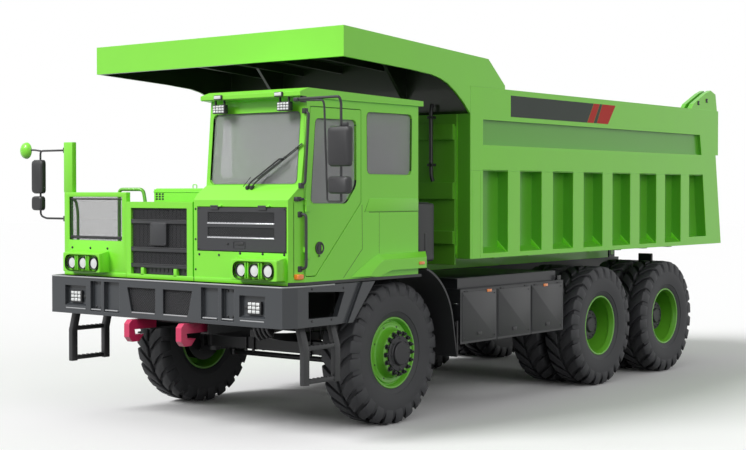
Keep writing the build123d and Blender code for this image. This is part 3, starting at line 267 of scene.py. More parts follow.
def add_loft(shape, outlines):
    """A closed solid through several outlines that have the same number of points."""
    face = shape.faces.new([shape.verts.new(point) for point in outlines[0]])
    ends = []
    for outline in outlines[1:]:
        made = bmesh.ops.extrude_face_region(shape, geom=[face])
        face = next(item for item in made["geom"] if isinstance(item, bmesh.types.BMFace))
        for vert, point in zip(face.verts, outline):
            vert.co = point
        ends.append(face)
    bmesh.ops.delete(shape, geom=ends[:-1], context="FACES_ONLY")


def shrunk(outline, share, push):
    """An outline drawn in towards its middle and moved."""
    middle = sum((Vector(point) for point in outline), Vector()) / len(outline)
    return [middle + (Vector(point) - middle) * share + Vector(push) for point in outline]


def add_holed_plate(shape, outer, inner, push, edge):
    """A plate with one hole; both outlines have the same number of points."""
    rings = [[shape.verts.new(point) for point in outline] for outline in (outer, inner)]
    faces = []
    for index in range(len(outer)):
        after = (index + 1) % len(outer)
        faces.append(shape.faces.new((rings[0][index], rings[0][after], rings[1][after], rings[1][index])))
    moved = pushed(shape, faces, push)
    rounded(shape, sharp_edges(moved + rings[0] + rings[1]), edge)


def add_lattice(shape, corner, across, up, width, height, pitch, radius):
    """Crossed diagonal wires that fill a rectangle; across and up are its unit directions."""
    corner, across, up = Vector(corner), Vector(across), Vector(up)
    for mirrored in (False, True):
        offset = -height + pitch / 2
        while offset < width:
            low = max(0.0, -offset)
            high = min(height, width - offset)
            if high - low > 2 * radius:
                ends = []
                for rise in (low, high):
                    run = offset + rise
                    ends.append(corner + across * (width - run if mirrored else run) + up * rise)
                add_rod(shape, ends[0], ends[1], radius, sides=4)
            offset += pitch


def add_bolts(shape, places, push, radius, height=0.008):
    """Hexagon heads on washers, all facing the same way."""
    push = Vector(push).normalized()
    for place in places:
        place = Vector(place)
        add_rod(shape, place, place + push * height * 0.25, radius * 1.45, sides=12)
        add_rod(shape, place, place + push * height, radius, sides=6)


def along(start, end, count):
    """Evenly spaced points from one place to another, ends included."""
    start, end = Vector(start), Vector(end)
    return [start.lerp(end, index / (count - 1)) for index in range(count)]


# Shader groups that several finishes share
def new_group(name, inputs, outputs):
    group = bpy.data.node_groups.new(name, "ShaderNodeTree")
    for label, kind, value in inputs:
        socket = group.interface.new_socket(name=label, in_out="INPUT", socket_type=kind)
        socket.default_value = value
    for label, kind in outputs:
        group.interface.new_socket(name=label, in_out="OUTPUT", socket_type=kind)
    start = group.nodes.new("NodeGroupInput")
    end = group.nodes.new("NodeGroupOutput")
    return group, start, end


def math_node(tree, operation, first, second=None, clamp=False):
    node = tree.nodes.new("ShaderNodeMath")
    node.operation = operation
    node.use_clamp = clamp
    for index, value in enumerate((first, second)):
        if value is None:
            continue
        if isinstance(value, (int, float)):
            node.inputs[index].default_value = value
        else:
            tree.links.new(value, node.inputs[index])
    return node.outputs[0]


def noise_node(tree, place, scale, detail):
    node = tree.nodes.new("ShaderNodeTexNoise")
    node.inputs["Detail"].default_value = detail
    tree.links.new(place, node.inputs["Vector"])
    if isinstance(scale, (int, float)):
        node.inputs["Scale"].default_value = scale
    else:
        tree.links.new(scale, node.inputs["Scale"])
    return node.outputs["Fac"]


def build_soft_edge_group():
    """Normals rounded over a narrow edge, and a mask of where the edges are."""
    group, start, end = new_group(
        "soft edges", [("Radius", "NodeSocketFloat", 0.006)],
        [("Normal", "NodeSocketVector"), ("Edge", "NodeSocketFloat")])
    bevel = group.nodes.new("ShaderNodeBevel")
    bevel.samples = 4
    group.links.new(start.outputs["Radius"], bevel.inputs["Radius"])
    flat = group.nodes.new("ShaderNodeNewGeometry")
    dot = group.nodes.new("ShaderNodeVectorMath")
    dot.operation = "DOT_PRODUCT"
    group.links.new(bevel.outputs["Normal"], dot.inputs[0])
    group.links.new(flat.outputs["Normal"], dot.inputs[1])
    gap = math_node(group, "SUBTRACT", 1.0, dot.outputs["Value"])
    mask = math_node(group, "MULTIPLY", gap, 4.0, clamp=True)
    group.links.new(bevel.outputs["Normal"], end.inputs["Normal"])
    group.links.new(mask, end.inputs["Edge"])
    return group


def build_tone_group():
    """A colour that drifts a little over the surface, with a roughness that drifts with it."""
    group, start, end = new_group(
        "drifting tone",
        [("Color", "NodeSocketColor", (0.5, 0.5, 0.5, 1)), ("Scale", "NodeSocketFloat", 3.0),
         ("Drift", "NodeSocketFloat", 0.06), ("Roughness", "NodeSocketFloat", 0.4),
         ("Roughness Drift", "NodeSocketFloat", 0.08)],
        [("Color", "NodeSocketColor"), ("Roughness", "NodeSocketFloat"), ("Noise", "NodeSocketFloat")])
    place = group.nodes.new("ShaderNodeTexCoord").outputs["Object"]
    noise = noise_node(group, place, start.outputs["Scale"], 5.0)
    signed = math_node(group, "SUBTRACT", noise, 0.5)
    swing = math_node(group, "MULTIPLY", signed, start.outputs["Drift"])
    value = math_node(group, "ADD", swing, 1.0)
    tint = group.nodes.new("ShaderNodeHueSaturation")
    group.links.new(start.outputs["Color"], tint.inputs["Color"])
    group.links.new(value, tint.inputs["Value"])
    rough_swing = math_node(group, "MULTIPLY", signed, start.outputs["Roughness Drift"])
    rough = math_node(group, "ADD", rough_swing, start.outputs["Roughness"], clamp=True)
    group.links.new(tint.outputs["Color"], end.inputs["Color"])
    group.links.new(rough, end.inputs["Roughness"])
    group.links.new(noise, end.inputs["Noise"])
    return group


def build_grain_group():
    """The height of a fine grain, such as sprayed paint, cast metal or moulded rubber."""
    group, start, end = new_group(
        "fine grain", [("Scale", "NodeSocketFloat", 200.0), ("Coarse", "NodeSocketFloat", 0.3)],
        [("Height", "NodeSocketFloat")])
    place = group.nodes.new("ShaderNodeTexCoord").outputs["Object"]
    fine = noise_node(group, place, start.outputs["Scale"], 2.0)
    wide = noise_node(group, place, math_node(group, "MULTIPLY", start.outputs["Scale"], 0.12), 2.0)
    lifted = math_node(group, "MULTIPLY", wide, start.outputs["Coarse"])
    group.links.new(math_node(group, "ADD", fine, lifted), end.inputs["Height"])
    return group


SOFT_EDGES = build_soft_edge_group()
DRIFTING_TONE = build_tone_group()
FINE_GRAIN = build_grain_group()


def placed_group(tree, group, **values):
    """A group in a material's tree, with its inputs set by name."""
    node = tree.nodes.new("ShaderNodeGroup")
    node.node_tree = group
    for label, value in values.items():
        node.inputs[label.replace("_", " ")].default_value = value
    return node


def mixed_color(tree, factor, first, color):
    """The first colour where the factor is 0, and the given one where it is 1."""
    mix = tree.nodes.new("ShaderNodeMix")
    mix.data_type = "RGBA"
    tree.links.new(factor, mix.inputs["Factor"])
    tree.links.new(first, mix.inputs["A"])
    mix.inputs["B"].default_value = (*color, 1)
    return mix.outputs["Result"]


def finish_material(name, color, roughness, metallic=0.0, coat=0.0, drift=0.06, drift_scale=2.0,
                    grain=300.0, grain_depth=0.0004, grain_strength=0.25, edge_radius=0.006,
                    edge_color=None, edge_amount=0.5):
    """A solid finish: drifting tone, fine grain, softened edges and a lighter colour along them, broken up by
    noise.
    """
    material = bpy.data.materials.new(name)
    material.use_nodes = True
    tree = material.node_tree
    shader = tree.nodes["Principled BSDF"]
    shader.inputs["Metallic"].default_value = metallic
    shader.inputs["Coat Weight"].default_value = coat
    shader.inputs["Coat Roughness"].default_value = 0.08
    tone = placed_group(
        tree, DRIFTING_TONE, Color=(*color, 1), Scale=drift_scale, Drift=drift, Roughness=roughness)
    edges = placed_group(tree, SOFT_EDGES, Radius=edge_radius)
    height = placed_group(tree, FINE_GRAIN, Scale=grain)
    bump = tree.nodes.new("ShaderNodeBump")
    bump.inputs["Distance"].default_value = grain_depth
    bump.inputs["Strength"].default_value = grain_strength
    tree.links.new(height.outputs["Height"], bump.inputs["Height"])
    tree.links.new(edges.outputs["Normal"], bump.inputs["Normal"])
    tree.links.new(bump.outputs["Normal"], shader.inputs["Normal"])
    tree.links.new(tone.outputs["Roughness"], shader.inputs["Roughness"])
    shown = tone.outputs["Color"]
    if edge_color:
        edge_share = math_node(tree, "MULTIPLY", edges.outputs["Edge"], tone.outputs["Noise"])
        amount = math_node(tree, "MULTIPLY", edge_share, edge_amount, clamp=True)
        shown = mixed_color(tree, amount, shown, edge_color)
    tree.links.new(shown, shader.inputs["Base Color"])
    return material


def paint_shade_where(material, dark, build_mask):
    """Paints shade into a finish: a darker colour where a mask built in its tree is 1."""
    tree = material.node_tree
    base = tree.nodes["Principled BSDF"].inputs["Base Color"]
    shown = mixed_color(tree, build_mask(tree), base.links[0].from_socket, dark)
    tree.links.new(shown, base)


def object_place(tree):
    """The separate object coordinates, and the size of the sideways one."""
    place = tree.nodes.new("ShaderNodeSeparateXYZ")
    tree.links.new(tree.nodes.new("ShaderNodeTexCoord").outputs["Object"], place.inputs[0])
    return place.outputs, math_node(tree, "ABSOLUTE", place.outputs["X"])


# Planes that bound the two places with painted shade, from the truck's middle and behind the front axle
CANOPY_INNER_SIDE = 1.76
CANOPY_FRONT_INNER = -1.09
RECESS_FLOOR = 1.615
RECESS_RIM = 1.775


def painted_shade_under_canopy(tree):
    """Painted shade inside the canopy: what faces sideways or down behind its front plate."""
    place, side = object_place(tree)
    facing = tree.nodes.new("ShaderNodeSeparateXYZ")
    tree.links.new(tree.nodes.new("ShaderNodeNewGeometry").outputs["True Normal"], facing.inputs[0])
    inside = math_node(tree, "LESS_THAN", side, CANOPY_INNER_SIDE)
    behind = math_node(tree, "GREATER_THAN", place["Y"], aft(CANOPY_FRONT_INNER))
    low = math_node(tree, "LESS_THAN", facing.outputs["Z"], 0.5)
    return math_node(tree, "MULTIPLY", math_node(tree, "MULTIPLY", inside, behind), low)


def painted_shade_in_recesses(tree):
    """Painted shade in the pockets and the long panel set into the bed's sides."""
    side = object_place(tree)[1]
    outside = math_node(tree, "GREATER_THAN", side, RECESS_FLOOR)
    inside = math_node(tree, "LESS_THAN", side, RECESS_RIM)
    return math_node(tree, "MULTIPLY", outside, inside)


def glass_material(name, tint, roughness):
    """Grey glass that lets most of the light through and mirrors at a glancing angle; the pale grey of the
    share it doesn't let through is painted reflection.
    """
    material = bpy.data.materials.new(name)
    material.use_nodes = True
    tree = material.node_tree
    shader = tree.nodes["Principled BSDF"]
    shader.inputs["Transmission Weight"].default_value = 0.68
    shader.inputs["IOR"].default_value = 1.15
    tone = placed_group(
        tree, DRIFTING_TONE, Color=(*tint, 1), Scale=1.2, Drift=0.03, Roughness=roughness,
        Roughness_Drift=0.01)
    tree.links.new(tone.outputs["Color"], shader.inputs["Base Color"])
    tree.links.new(tone.outputs["Roughness"], shader.inputs["Roughness"])
    return material


def lamp_material(name, color, strength):
    """A glossy lens that glows a little."""
    material = finish_material(name, color, 0.15, coat=0.6, drift=0.03, grain_strength=0.1)
    shader = material.node_tree.nodes["Principled BSDF"]
    shader.inputs["Emission Color"].default_value = (*color, 1)
    shader.inputs["Emission Strength"].default_value = strength
    return material


# A lighter green along edges, broken up by noise.
GREEN_EDGE_TINT = (0.45, 0.97, 0.22)
GREEN = finish_material("green paint", (0.275, 0.92, 0.045), 0.36, coat=0.25,
                        edge_color=GREEN_EDGE_TINT, edge_amount=0.6)
CANOPY_GREEN = finish_material("canopy paint with painted shade", (0.285, 0.93, 0.055), 0.36, coat=0.25,
                               edge_color=GREEN_EDGE_TINT, edge_amount=0.6)
# Painted shade: the canopy's inside, where little light reaches, is painted near-black.
paint_shade_where(CANOPY_GREEN, (0.016, 0.030, 0.010), painted_shade_under_canopy)
BED_GREEN = finish_material("bed paint with painted shade", (0.275, 0.92, 0.045), 0.36, coat=0.25,
                            edge_color=GREEN_EDGE_TINT, edge_amount=0.7)
# Painted shade: the bed's recesses take a darker green.
paint_shade_where(BED_GREEN, (0.135, 0.52, 0.030), painted_shade_in_recesses)
WHEEL_GREEN = finish_material("wheel paint", (0.17, 0.55, 0.035), 0.34, coat=0.3,
                              edge_color=(0.45, 0.85, 0.2), edge_amount=0.8)
# Painted shade: the headboard under the canopy is a darker copy of the green paint.
SHADED_GREEN = finish_material("headboard painted shade", (0.12, 0.42, 0.02), 0.5, edge_color=(0.35, 0.8, 0.15))
SEAM_GREEN = finish_material("seam shade", (0.05, 0.16, 0.02), 0.6)
FRAME_BLACK = finish_material("frame paint", (0.026, 0.027, 0.029), 0.45, drift=0.2,
                              edge_color=(0.16, 0.16, 0.16))
BUMPER_GREY = finish_material("bumper paint", (0.046, 0.051, 0.057), 0.38, coat=0.1, drift=0.1,
                              edge_color=(0.3, 0.31, 0.32), edge_amount=0.9)
PANEL_GREY = finish_material("panel paint", (0.033, 0.034, 0.038), 0.42, drift=0.08,
                             edge_color=(0.25, 0.25, 0.27))
BOX_GREY = finish_material("box paint", (0.013, 0.014, 0.016), 0.42, coat=0.1, drift=0.12,
                           edge_color=(0.2, 0.21, 0.22))
# Painted highlight: a light grey for the lit edges of the bumper and its recesses.
LIP_HIGHLIGHT_GREY = finish_material("painted highlight lip", (0.46, 0.47, 0.48), 0.35)
HOOK_PINK = finish_material("hook paint", (0.75, 0.03, 0.13), 0.3, coat=0.3, edge_color=(0.95, 0.3, 0.4))
RED_STRIPE = finish_material("red stripe", (0.60, 0.022, 0.012), 0.6)
BAND_DARK = finish_material("side band", (0.016, 0.026, 0.018), 0.6)
RUBBER = finish_material("tyre rubber", (0.040, 0.041, 0.045), 0.62, drift=0.25, drift_scale=6.0,
                         grain=120.0, grain_depth=0.001, grain_strength=0.4, edge_radius=0.008,
                         edge_color=(0.1, 0.1, 0.105))
PLASTIC = finish_material("black plastic", (0.02, 0.02, 0.022), 0.42, grain=500.0, grain_strength=0.4,
                          edge_radius=0.004, edge_color=(0.1, 0.1, 0.1))
SEAL = finish_material("window seal", (0.014, 0.014, 0.015), 0.5, edge_radius=0.003)
CAST_BLACK = finish_material("cast hub", (0.022, 0.022, 0.025), 0.4, metallic=0.3, drift=0.25,
                             grain=180.0, edge_radius=0.004, edge_color=(0.25, 0.25, 0.25))
STEEL = finish_material("bright steel", (0.62, 0.63, 0.65), 0.25, metallic=1.0, grain=400.0,
                        edge_radius=0.003)
CHROME = finish_material("hoist chrome", (0.75, 0.76, 0.78), 0.12, metallic=1.0, drift=0.03,
                         grain=60.0, grain_strength=0.1)
CAB_TRIM = finish_material("cab trim", (0.06, 0.065, 0.065), 0.7, grain=220.0, grain_depth=0.001)
LINING_GREY = finish_material("cab lining", (0.30, 0.31, 0.30), 0.8, grain=220.0)
SEAT_CLOTH = finish_material("seat cover", (0.03, 0.03, 0.034), 0.85, grain=650.0, grain_depth=0.0012,
                             grain_strength=0.8, edge_radius=0.02)
# Painted reflection: the glass's pale grey stands in for the reflections on it.
GLASS = glass_material("cab glass", (0.70, 0.71, 0.71), 0.035)
LAMP_WHITE = lamp_material("lamp lens", (0.86, 0.88, 0.87), 0.06)
AMBER = lamp_material("amber lens", (0.85, 0.22, 0.02), 0.2)
RED_LENS = lamp_material("tail lens", (0.5, 0.01, 0.01), 0.1)

NODE_FINISH = {
    GREEN: ["cab_shell", "cab_roof", "cab_door", "centre_grille", "power_cabinet", "fenders", "tailgate"],
    CANOPY_GREEN: ["canopy"],
    BED_GREEN: ["bed_body"],
    FRAME_BLACK: ["frame", "crossmembers", "hoist_beam", "front_axle", "rear_axles", "suspension",
                  "knuckle_left", "knuckle_right", "tie_rod", "drive_motor", "mudguards", "hoist_barrel",
                  "deck", "hoist_bracket"],
    BUMPER_GREY: ["bumper"],
    BOX_GREY: ["battery_boxes"],
    SHADED_GREEN: ["headboard"],
    PANEL_GREY: ["service_flap"],
    PLASTIC: ["mirrors", "lamps"],
    HOOK_PINK: ["tow_hooks"],
    GLASS: ["cab_glass", "door_glass"],
    CAB_TRIM: ["cab_interior"],
    CHROME: ["hoist_stage_1", "hoist_stage_2", "hoist_stage_3"],
    CAST_BLACK: ["hoist_rod_eye"],
    RUBBER: [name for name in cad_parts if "tyre" in name],
    WHEEL_GREEN: [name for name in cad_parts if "rim" in name],
}


def dress_nodes():
    """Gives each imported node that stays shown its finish."""
    for material, names in NODE_FINISH.items():
        for name in names:
            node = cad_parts[name]
            if not node.material_slots:
                node.data.materials.append(material)
            for slot in node.material_slots:
                slot.material = material


# Tyres: a carcass with two rows of shoulder lugs that lean towards the middle of the tread
LUGS = 24
LUG_TURN = radians(10.2)
LUG_LEAN = radians(13)


def tyre_carcass(shape, centre):
    """The tyre without its lugs, spun from its section."""
    side = [(0.165, 0.373), (0.176, 0.385), (0.188, 0.425), (0.190, 0.430), (0.194, 0.428), (0.203, 0.48),
            (0.2105, 0.545), (0.2095, 0.60), (0.200, 0.655), (0.180, 0.695), (0.10, 0.706), (0.0, 0.708)]
    inner = [(0.0, 0.60), (0.12, 0.58), (0.17, 0.50), (0.15, 0.373)]
    outline = side + [(-x, r) for x, r in side[-2::-1]] + [(-x, r) for x, r in reversed(inner[1:])]
    outline += inner
    add_lathe(shape, outline, centre, 72)


def tyre_lug(shape, centre, side, start_angle):
    """Makes one lug in an empty bmesh: its section spun through its width, then leant across the tread."""
    half = TYRE_W / 2
    section = [(0.196, 0.585), (0.2125, 0.600), (half, 0.655), (0.207, 0.703), (0.184, 0.737), (0.10, 0.744),
               (0.022, TYRE_R), (0.018, 0.700), (0.17, 0.685)]
    verts = [shape.verts.new((centre.x + side * x, centre.y, centre.z + r)) for x, r in section]
    face = shape.faces.new(verts)
    bmesh.ops.spin(shape, geom=[face], cent=centre, axis=(1, 0, 0), dvec=(0, 0, 0),
                   angle=LUG_TURN, steps=2, use_merge=False, use_duplicate=False)
    for vert in shape.verts[:]:
        lean = max(0.0, 0.17 - abs(vert.co.x - centre.x)) / 0.15
        ahead = start_angle + LUG_LEAN * lean ** 1.3
        bmesh.ops.rotate(shape, cent=centre, matrix=Matrix.Rotation(ahead, 3, "X"), verts=[vert])
    rounded(shape, sharp_edges(shape.verts, 38), 0.007)


def make_tyres(name, body, node, xs, station):
    """One piece with a lugged tyre at each X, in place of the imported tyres."""
    shape = bmesh.new()
    for index, x in enumerate(xs):
        centre = at(x, station, TYRE_R)
        tyre_carcass(shape, centre)
        for side in (-1, 1):
            lug = bmesh.new()
            phase = radians(7.5) if side < 0 else 0.0
            tyre_lug(lug, centre, side, phase + radians(3) * index)
            copies_round(lug, everything_in(lug), centre, LUGS)
            join_into(shape, lug)
    piece = made_piece(name, shape, body, RUBBER, crease=40)
    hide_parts(node)


dress_nodes()
for side_name, side_sign in SIDES.items():
    make_tyres(f"lugged_front_tyre_{side_name}", f"front_wheel_{side_name}", f"front_tyre_{side_name}",
               [side_sign * FRONT_WHEEL_X], 0.0)
    for axle, axle_station in DRIVEN_AXLES.items():
        make_tyres(f"lugged_{axle}_tyres_{side_name}", f"{axle}_wheels_{side_name}",
                   f"{axle}_tyres_{side_name}",
                   [side_sign * REAR_OUTER_X, side_sign * (REAR_OUTER_X - DUAL_SPACING)], axle_station)


# Wheels: pressed rims with their lips, and dark hubs ringed with nuts
FRONT_RIM = [(0.150, 0.3725), (0.166, 0.3735), (0.172, 0.369), (0.173, 0.360), (0.169, 0.352), (0.160, 0.348),
             (0.140, 0.341), (0.130, 0.336), (0.122, 0.336), (0.118, 0.332), (0.118, 0.324), (0.122, 0.320),
             (0.132, 0.318), (0.136, 0.312), (0.134, 0.296), (0.130, 0.280), (0.134, 0.266), (0.150, 0.254),
             (0.218, 0.241), (0.230, 0.238), (0.236, 0.232), (0.236, 0.150), (0.090, 0.150), (0.090, 0.335),
             (-0.150, 0.342), (-0.172, 0.350), (-0.172, 0.370), (-0.150, 0.3725)]
REAR_RIM = [(0.395, 0.3725), (0.411, 0.3735), (0.417, 0.369), (0.418, 0.360), (0.414, 0.352), (0.404, 0.348),
            (0.370, 0.343), (0.355, 0.336), (0.345, 0.336), (0.340, 0.342), (0.150, 0.339), (0.060, 0.330),
            (0.040, 0.318), (0.034, 0.300), (0.034, 0.252), (0.042, 0.246), (0.042, 0.150), (-0.010, 0.150),
            (-0.010, 0.335), (-0.390, 0.342), (-0.417, 0.350), (-0.417, 0.370), (-0.395, 0.3725)]
FRONT_DRUM = [(0.09, 0.05), (0.09, 0.255), (-0.12, 0.255), (-0.13, 0.268), (-0.15, 0.268),
              (-0.15, 0.05)]
REAR_DRUM = [(0.0, 0.05), (0.0, 0.250), (-0.36, 0.255), (-0.37, 0.268), (-0.39, 0.268),
             (-0.39, 0.05)]
FRONT_HUB = [(0.236, 0.0), (0.236, 0.186), (0.252, 0.186), (0.258, 0.180), (0.258, 0.132), (0.264, 0.124),
             (0.284, 0.120), (0.290, 0.112), (0.292, 0.0)]
REAR_HUB = [(0.040, 0.0), (0.040, 0.212), (0.060, 0.212), (0.064, 0.196), (0.250, 0.190), (0.262, 0.186),
            (0.270, 0.178), (0.272, 0.100), (0.292, 0.092), (0.298, 0.084), (0.300, 0.0)]

# Each ring of nuts: how many, the ring's radius and its reach, and each nut's radius, height and stud
FRONT_NUTS = ((16, 0.213, 0.234, 0.0205, 0.034, 0.016), (8, 0.158, 0.256, 0.011, 0.010, 0.004))
REAR_NUTS = ((16, 0.232, 0.040, 0.0195, 0.030, 0.016), (12, 0.148, 0.269, 0.012, 0.012, 0.0))
HAND_HOLES = 8
DRUM_BOLTS = 6

FRONT_STYLE = {"rim": FRONT_RIM, "hub": FRONT_HUB, "drum": FRONT_DRUM, "nuts": FRONT_NUTS,
               "hole_ring": 0.283, "hole_base": 0.1295, "valve_base": 0.140}
REAR_STYLE = {"rim": REAR_RIM, "hub": REAR_HUB, "drum": REAR_DRUM, "nuts": REAR_NUTS,
              "hole_ring": 0.288, "hole_base": 0.033, "valve_base": 0.038}


def turned_profile(profile, side):
    return [(side * x, r) for x, r in profile]


def ring_of_nuts(shape, centre, side, count, ring, base, radius, height, stud):
    """Hexagon nuts with their studs, on a circle round the hub."""
    reach = Vector((side, 0, 0))
    for index in range(count):
        foot = round_axle(centre, side * base, ring, 2 * pi * index / count)
        add_rod(shape, foot, foot + reach * 0.006, radius * 1.35, sides=16)
        add_rod(shape, foot, foot + reach * height, radius, sides=6, edge=0.002)
        add_rod(shape, foot, foot + reach * (height + stud), radius * 0.52, sides=10)


def make_wheel(name, body, node, side, pair_x, station, style):
    """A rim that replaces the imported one, and a hub with its drum, nuts, hand holes and valve."""
    centre = at(side * pair_x, station, TYRE_R)
    reach = Vector((side, 0, 0))
    shape = bmesh.new()
    add_lathe(shape, turned_profile(style["rim"], side), centre, 72)
    piece = made_piece(f"pressed_{name}_rim", shape, body, WHEEL_GREEN, crease=35)
    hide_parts(node)
    shape = bmesh.new()
    add_lathe(shape, turned_profile(style["drum"], side), centre, 48)
    add_lathe(shape, turned_profile(style["hub"], side), centre, 48)
    for nuts in style["nuts"]:
        ring_of_nuts(shape, centre, side, *nuts)
    for index in range(HAND_HOLES):
        angle = 2 * pi * (index + 0.5) / HAND_HOLES
        foot = round_axle(centre, side * style["hole_base"], style["hole_ring"], angle)
        add_rod(shape, foot, foot + reach * 0.003, 0.011, sides=16)
    drum_back = style["drum"][-2][0]
    for index in range(DRUM_BOLTS):
        foot = round_axle(centre, side * drum_back, 0.16, 2 * pi * index / DRUM_BOLTS)
        add_rod(shape, foot, foot - reach * 0.012, 0.018, sides=8)
    valve = centre + Vector((side * style["valve_base"], 0.318, 0.02))
    valve_tip = valve + Vector((side * 0.045, -0.05, 0.004))
    add_pipe(shape, [valve, valve + Vector((side * 0.03, 0.002, 0)), valve_tip], 0.005, bend=0.015, sides=6)
    made_piece(f"{name}_hub_and_nuts", shape, body, CAST_BLACK, crease=35)


for side_name, side_sign in SIDES.items():
    make_wheel(f"front_{side_name}", f"front_wheel_{side_name}", f"front_rim_{side_name}", side_sign,
               FRONT_WHEEL_X, 0.0, FRONT_STYLE)
    for axle, axle_station in DRIVEN_AXLES.items():
        make_wheel(f"{axle}_{side_name}", f"{axle}_wheels_{side_name}", f"{axle}_rims_{side_name}", side_sign,
                   REAR_PAIR_X, axle_station, REAR_STYLE)


def add_both_sides(shape, build):
    """Adds what build makes, and its mirror image on the truck's right."""
    for sign in (1, -1):
        part = bmesh.new()
        build(part)
        bmesh.ops.scale(part, vec=(sign, 1, 1), verts=part.verts)
        join_into(shape, part)


def trim(name, material, build, body="chassis", both=False, crease=32, node=None):
    """A piece of trim from a function that fills a bmesh."""
    shape = bmesh.new()
    if both:
        add_both_sides(shape, build)
    else:
        build(shape)
    piece = made_piece(name, shape, body, material, crease)
    if node:
        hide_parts(node)
    return piece


# Bumper: expanded metal in the two middle openings, and what sits in its recesses
BUMPER_OPENING = ((0.055, 1.195), (0.41, 1.195), (0.47, 1.443), (0.055, 1.443))


def bumper_grilles(shape):
    """Expanded metal in a narrow frame; the opening's outer end slopes."""
    add_lattice(shape, at(0.055, BUMPER_FACE + 0.026, 1.195), ACROSS, UP, 0.415, 0.248, 0.0290, 0.0031)
    slope = Vector((0.248, 0, -0.060)).normalized()
    bmesh.ops.bisect_plane(shape, geom=everything_in(shape), plane_co=at(0.41, BUMPER_FACE, 1.195),
                           plane_no=slope, clear_outer=True)
    bmesh.ops.holes_fill(shape, edges=[e for e in shape.edges if e.is_boundary], sides=0)
    outline = [at(x, BUMPER_FACE + 0.020, z) for x, z in BUMPER_OPENING]
    add_frame(shape, outline, 0.012, AFT * 0.012)


def bumper_backing(shape):
    corners = ((0.057, 1.197), (0.408, 1.197), (0.467, 1.441), (0.057, 1.441))
    add_plate(shape, [at(x, BUMPER_FACE + 0.040, z) for x, z in corners], AFT * 0.0015)


def bumper_fittings(shape):
    """The lamp's box and switch in the outer recess, and the bolts of the face and the side."""
    add_box(shape, at(1.192, BUMPER_FACE + 0.014, 1.250), at(1.371, BUMPER_FACE + 0.041, 1.380), 0.008)
    add_box(shape, at(1.135, BUMPER_FACE + 0.030, 1.30), at(1.180, BUMPER_FACE + 0.041, 1.33), 0.004)
    add_bolts(shape, [at(x, BUMPER_FACE + 0.041, z) for z in (1.462, 1.215) for x in (0.915, 0.985)],
              FORWARD, 0.010)
    side_bolts = [(-1.49, 1.185), (-1.20, 1.185), (-1.49, 1.492), (-1.02, 1.480)]
    add_bolts(shape, on_side(side_bolts, BUMPER_SIDE), ACROSS, 0.009, 0.007)


LENS_DEPTH = 0.006


def led_grid(shape, low, high, station, columns, rows, gap=0.007):
    """A lamp face made of small rounded lenses."""
    wide = (high[0] - low[0] - gap * (columns + 1)) / columns
    tall = (high[1] - low[1] - gap * (rows + 1)) / rows
    for column in range(columns):
        for row in range(rows):
            x = low[0] + gap + column * (wide + gap)
            z = low[1] + gap + row * (tall + gap)
            add_box(shape, at(x, station - LENS_DEPTH, z), at(x + wide, station, z + tall), 0.003, 1)


# The lamps' low and high X; a pod also has the X of its row of headlamps
ROOF_LAMPS = ((0.552, 0.709), (1.404, 1.556))
VISOR_LAMPS = ((0.588, 0.693), (1.387, 1.490))
PODS = ((0.985, 1.577, 1.277), (-1.484, -0.905, -1.184))
POD_OPENING_HALF = 0.260
POD_OPENING_ZS = (1.586, 1.754)
LAMP_SHIFTS = (-0.173, 0.0, 0.173)
LAMP_Z = 1.670


def pod_opening(middle, station):
    """The long rounded outline round a pod's headlamps."""
    xs = (middle - POD_OPENING_HALF, middle + POD_OPENING_HALF)
    return round_corners(upright(xs, POD_OPENING_ZS, station), 0.080, 8)


def pod_shells(shape):
    """The pods: a box with a sloped top, and a face with a long rounded opening."""
    for low, high, middle in PODS:
        side = [(NOSE + 0.004, 1.574), (NOSE + 0.004, 1.797), (-1.816, 1.777), (-1.816, 1.574)]
        add_plate(shape, on_side(side, low), ACROSS * (high - low), 0.006)
        outer = round_corners(upright((low, high), (1.574, 1.774), POD_FACE), 0.012, 8)
        add_holed_plate(shape, outer, pod_opening(middle, POD_FACE), AFT * 0.040, 0.005)
        for x in (middle - 0.0865, middle + 0.0865):
            for shift in (-0.018, 0.018):
                add_box(shape, at(x + shift - 0.006, POD_FACE - 0.004, 1.592),
                        at(x + shift + 0.006, POD_FACE + 0.036, 1.748), 0.003)


def lamp_housings(shape):
    """The bodies of the roof, visor, head and tail lamps."""
    for low, high in ROOF_LAMPS:
        add_box(shape, at(low - 0.004, -1.652, 3.187), at(high + 0.004, -1.60, 3.275), 0.008)
        for x in (low + 0.02, high - 0.02):
            add_box(shape, at(x - 0.006, -1.640, 3.26), at(x + 0.006, -1.615, 3.322), 0.002, 1)
        for rib in range(5):
            x = low + 0.02 + rib * 0.028
            add_box(shape, at(x, -1.602, 3.195), at(x + 0.006, -1.580, 3.268), 0.001, 1)
    for low, high in VISOR_LAMPS:
        add_box(shape, at(low, -1.676, 3.322), at(high, -1.655, 3.368), 0.005)
    for _, _, middle in PODS:
        for shift in LAMP_SHIFTS:
            centre = at(middle + shift, POD_FACE + 0.034, LAMP_Z)
            tube = bmesh.new()
            section = [(0.0, 0.056), (0.0, 0.063), (0.032, 0.063), (0.032, 0.0605), (0.006, 0.0605),
                       (0.006, 0.056)]
            add_lathe(tube, section, Vector(), 40)
            bmesh.ops.rotate(tube, cent=(0, 0, 0), matrix=Matrix.Rotation(-pi / 2, 3, "Z"), verts=tube.verts)
            bmesh.ops.translate(tube, vec=centre, verts=tube.verts)
            join_into(shape, tube)
            add_rod(shape, centre, centre + FORWARD * 0.006, 0.052, sides=40)
    for side in (-1, 1):
        low, high = sorted((side * 0.475, side * 0.960))
        add_box(shape, at(low, 6.742, 1.392), at(high, 6.778, 1.438), 0.006)
        low, high = sorted((side * 0.80, side * 1.01))
        add_box(shape, at(low, 6.782, 1.392), at(high, 6.832, 1.538), 0.008)


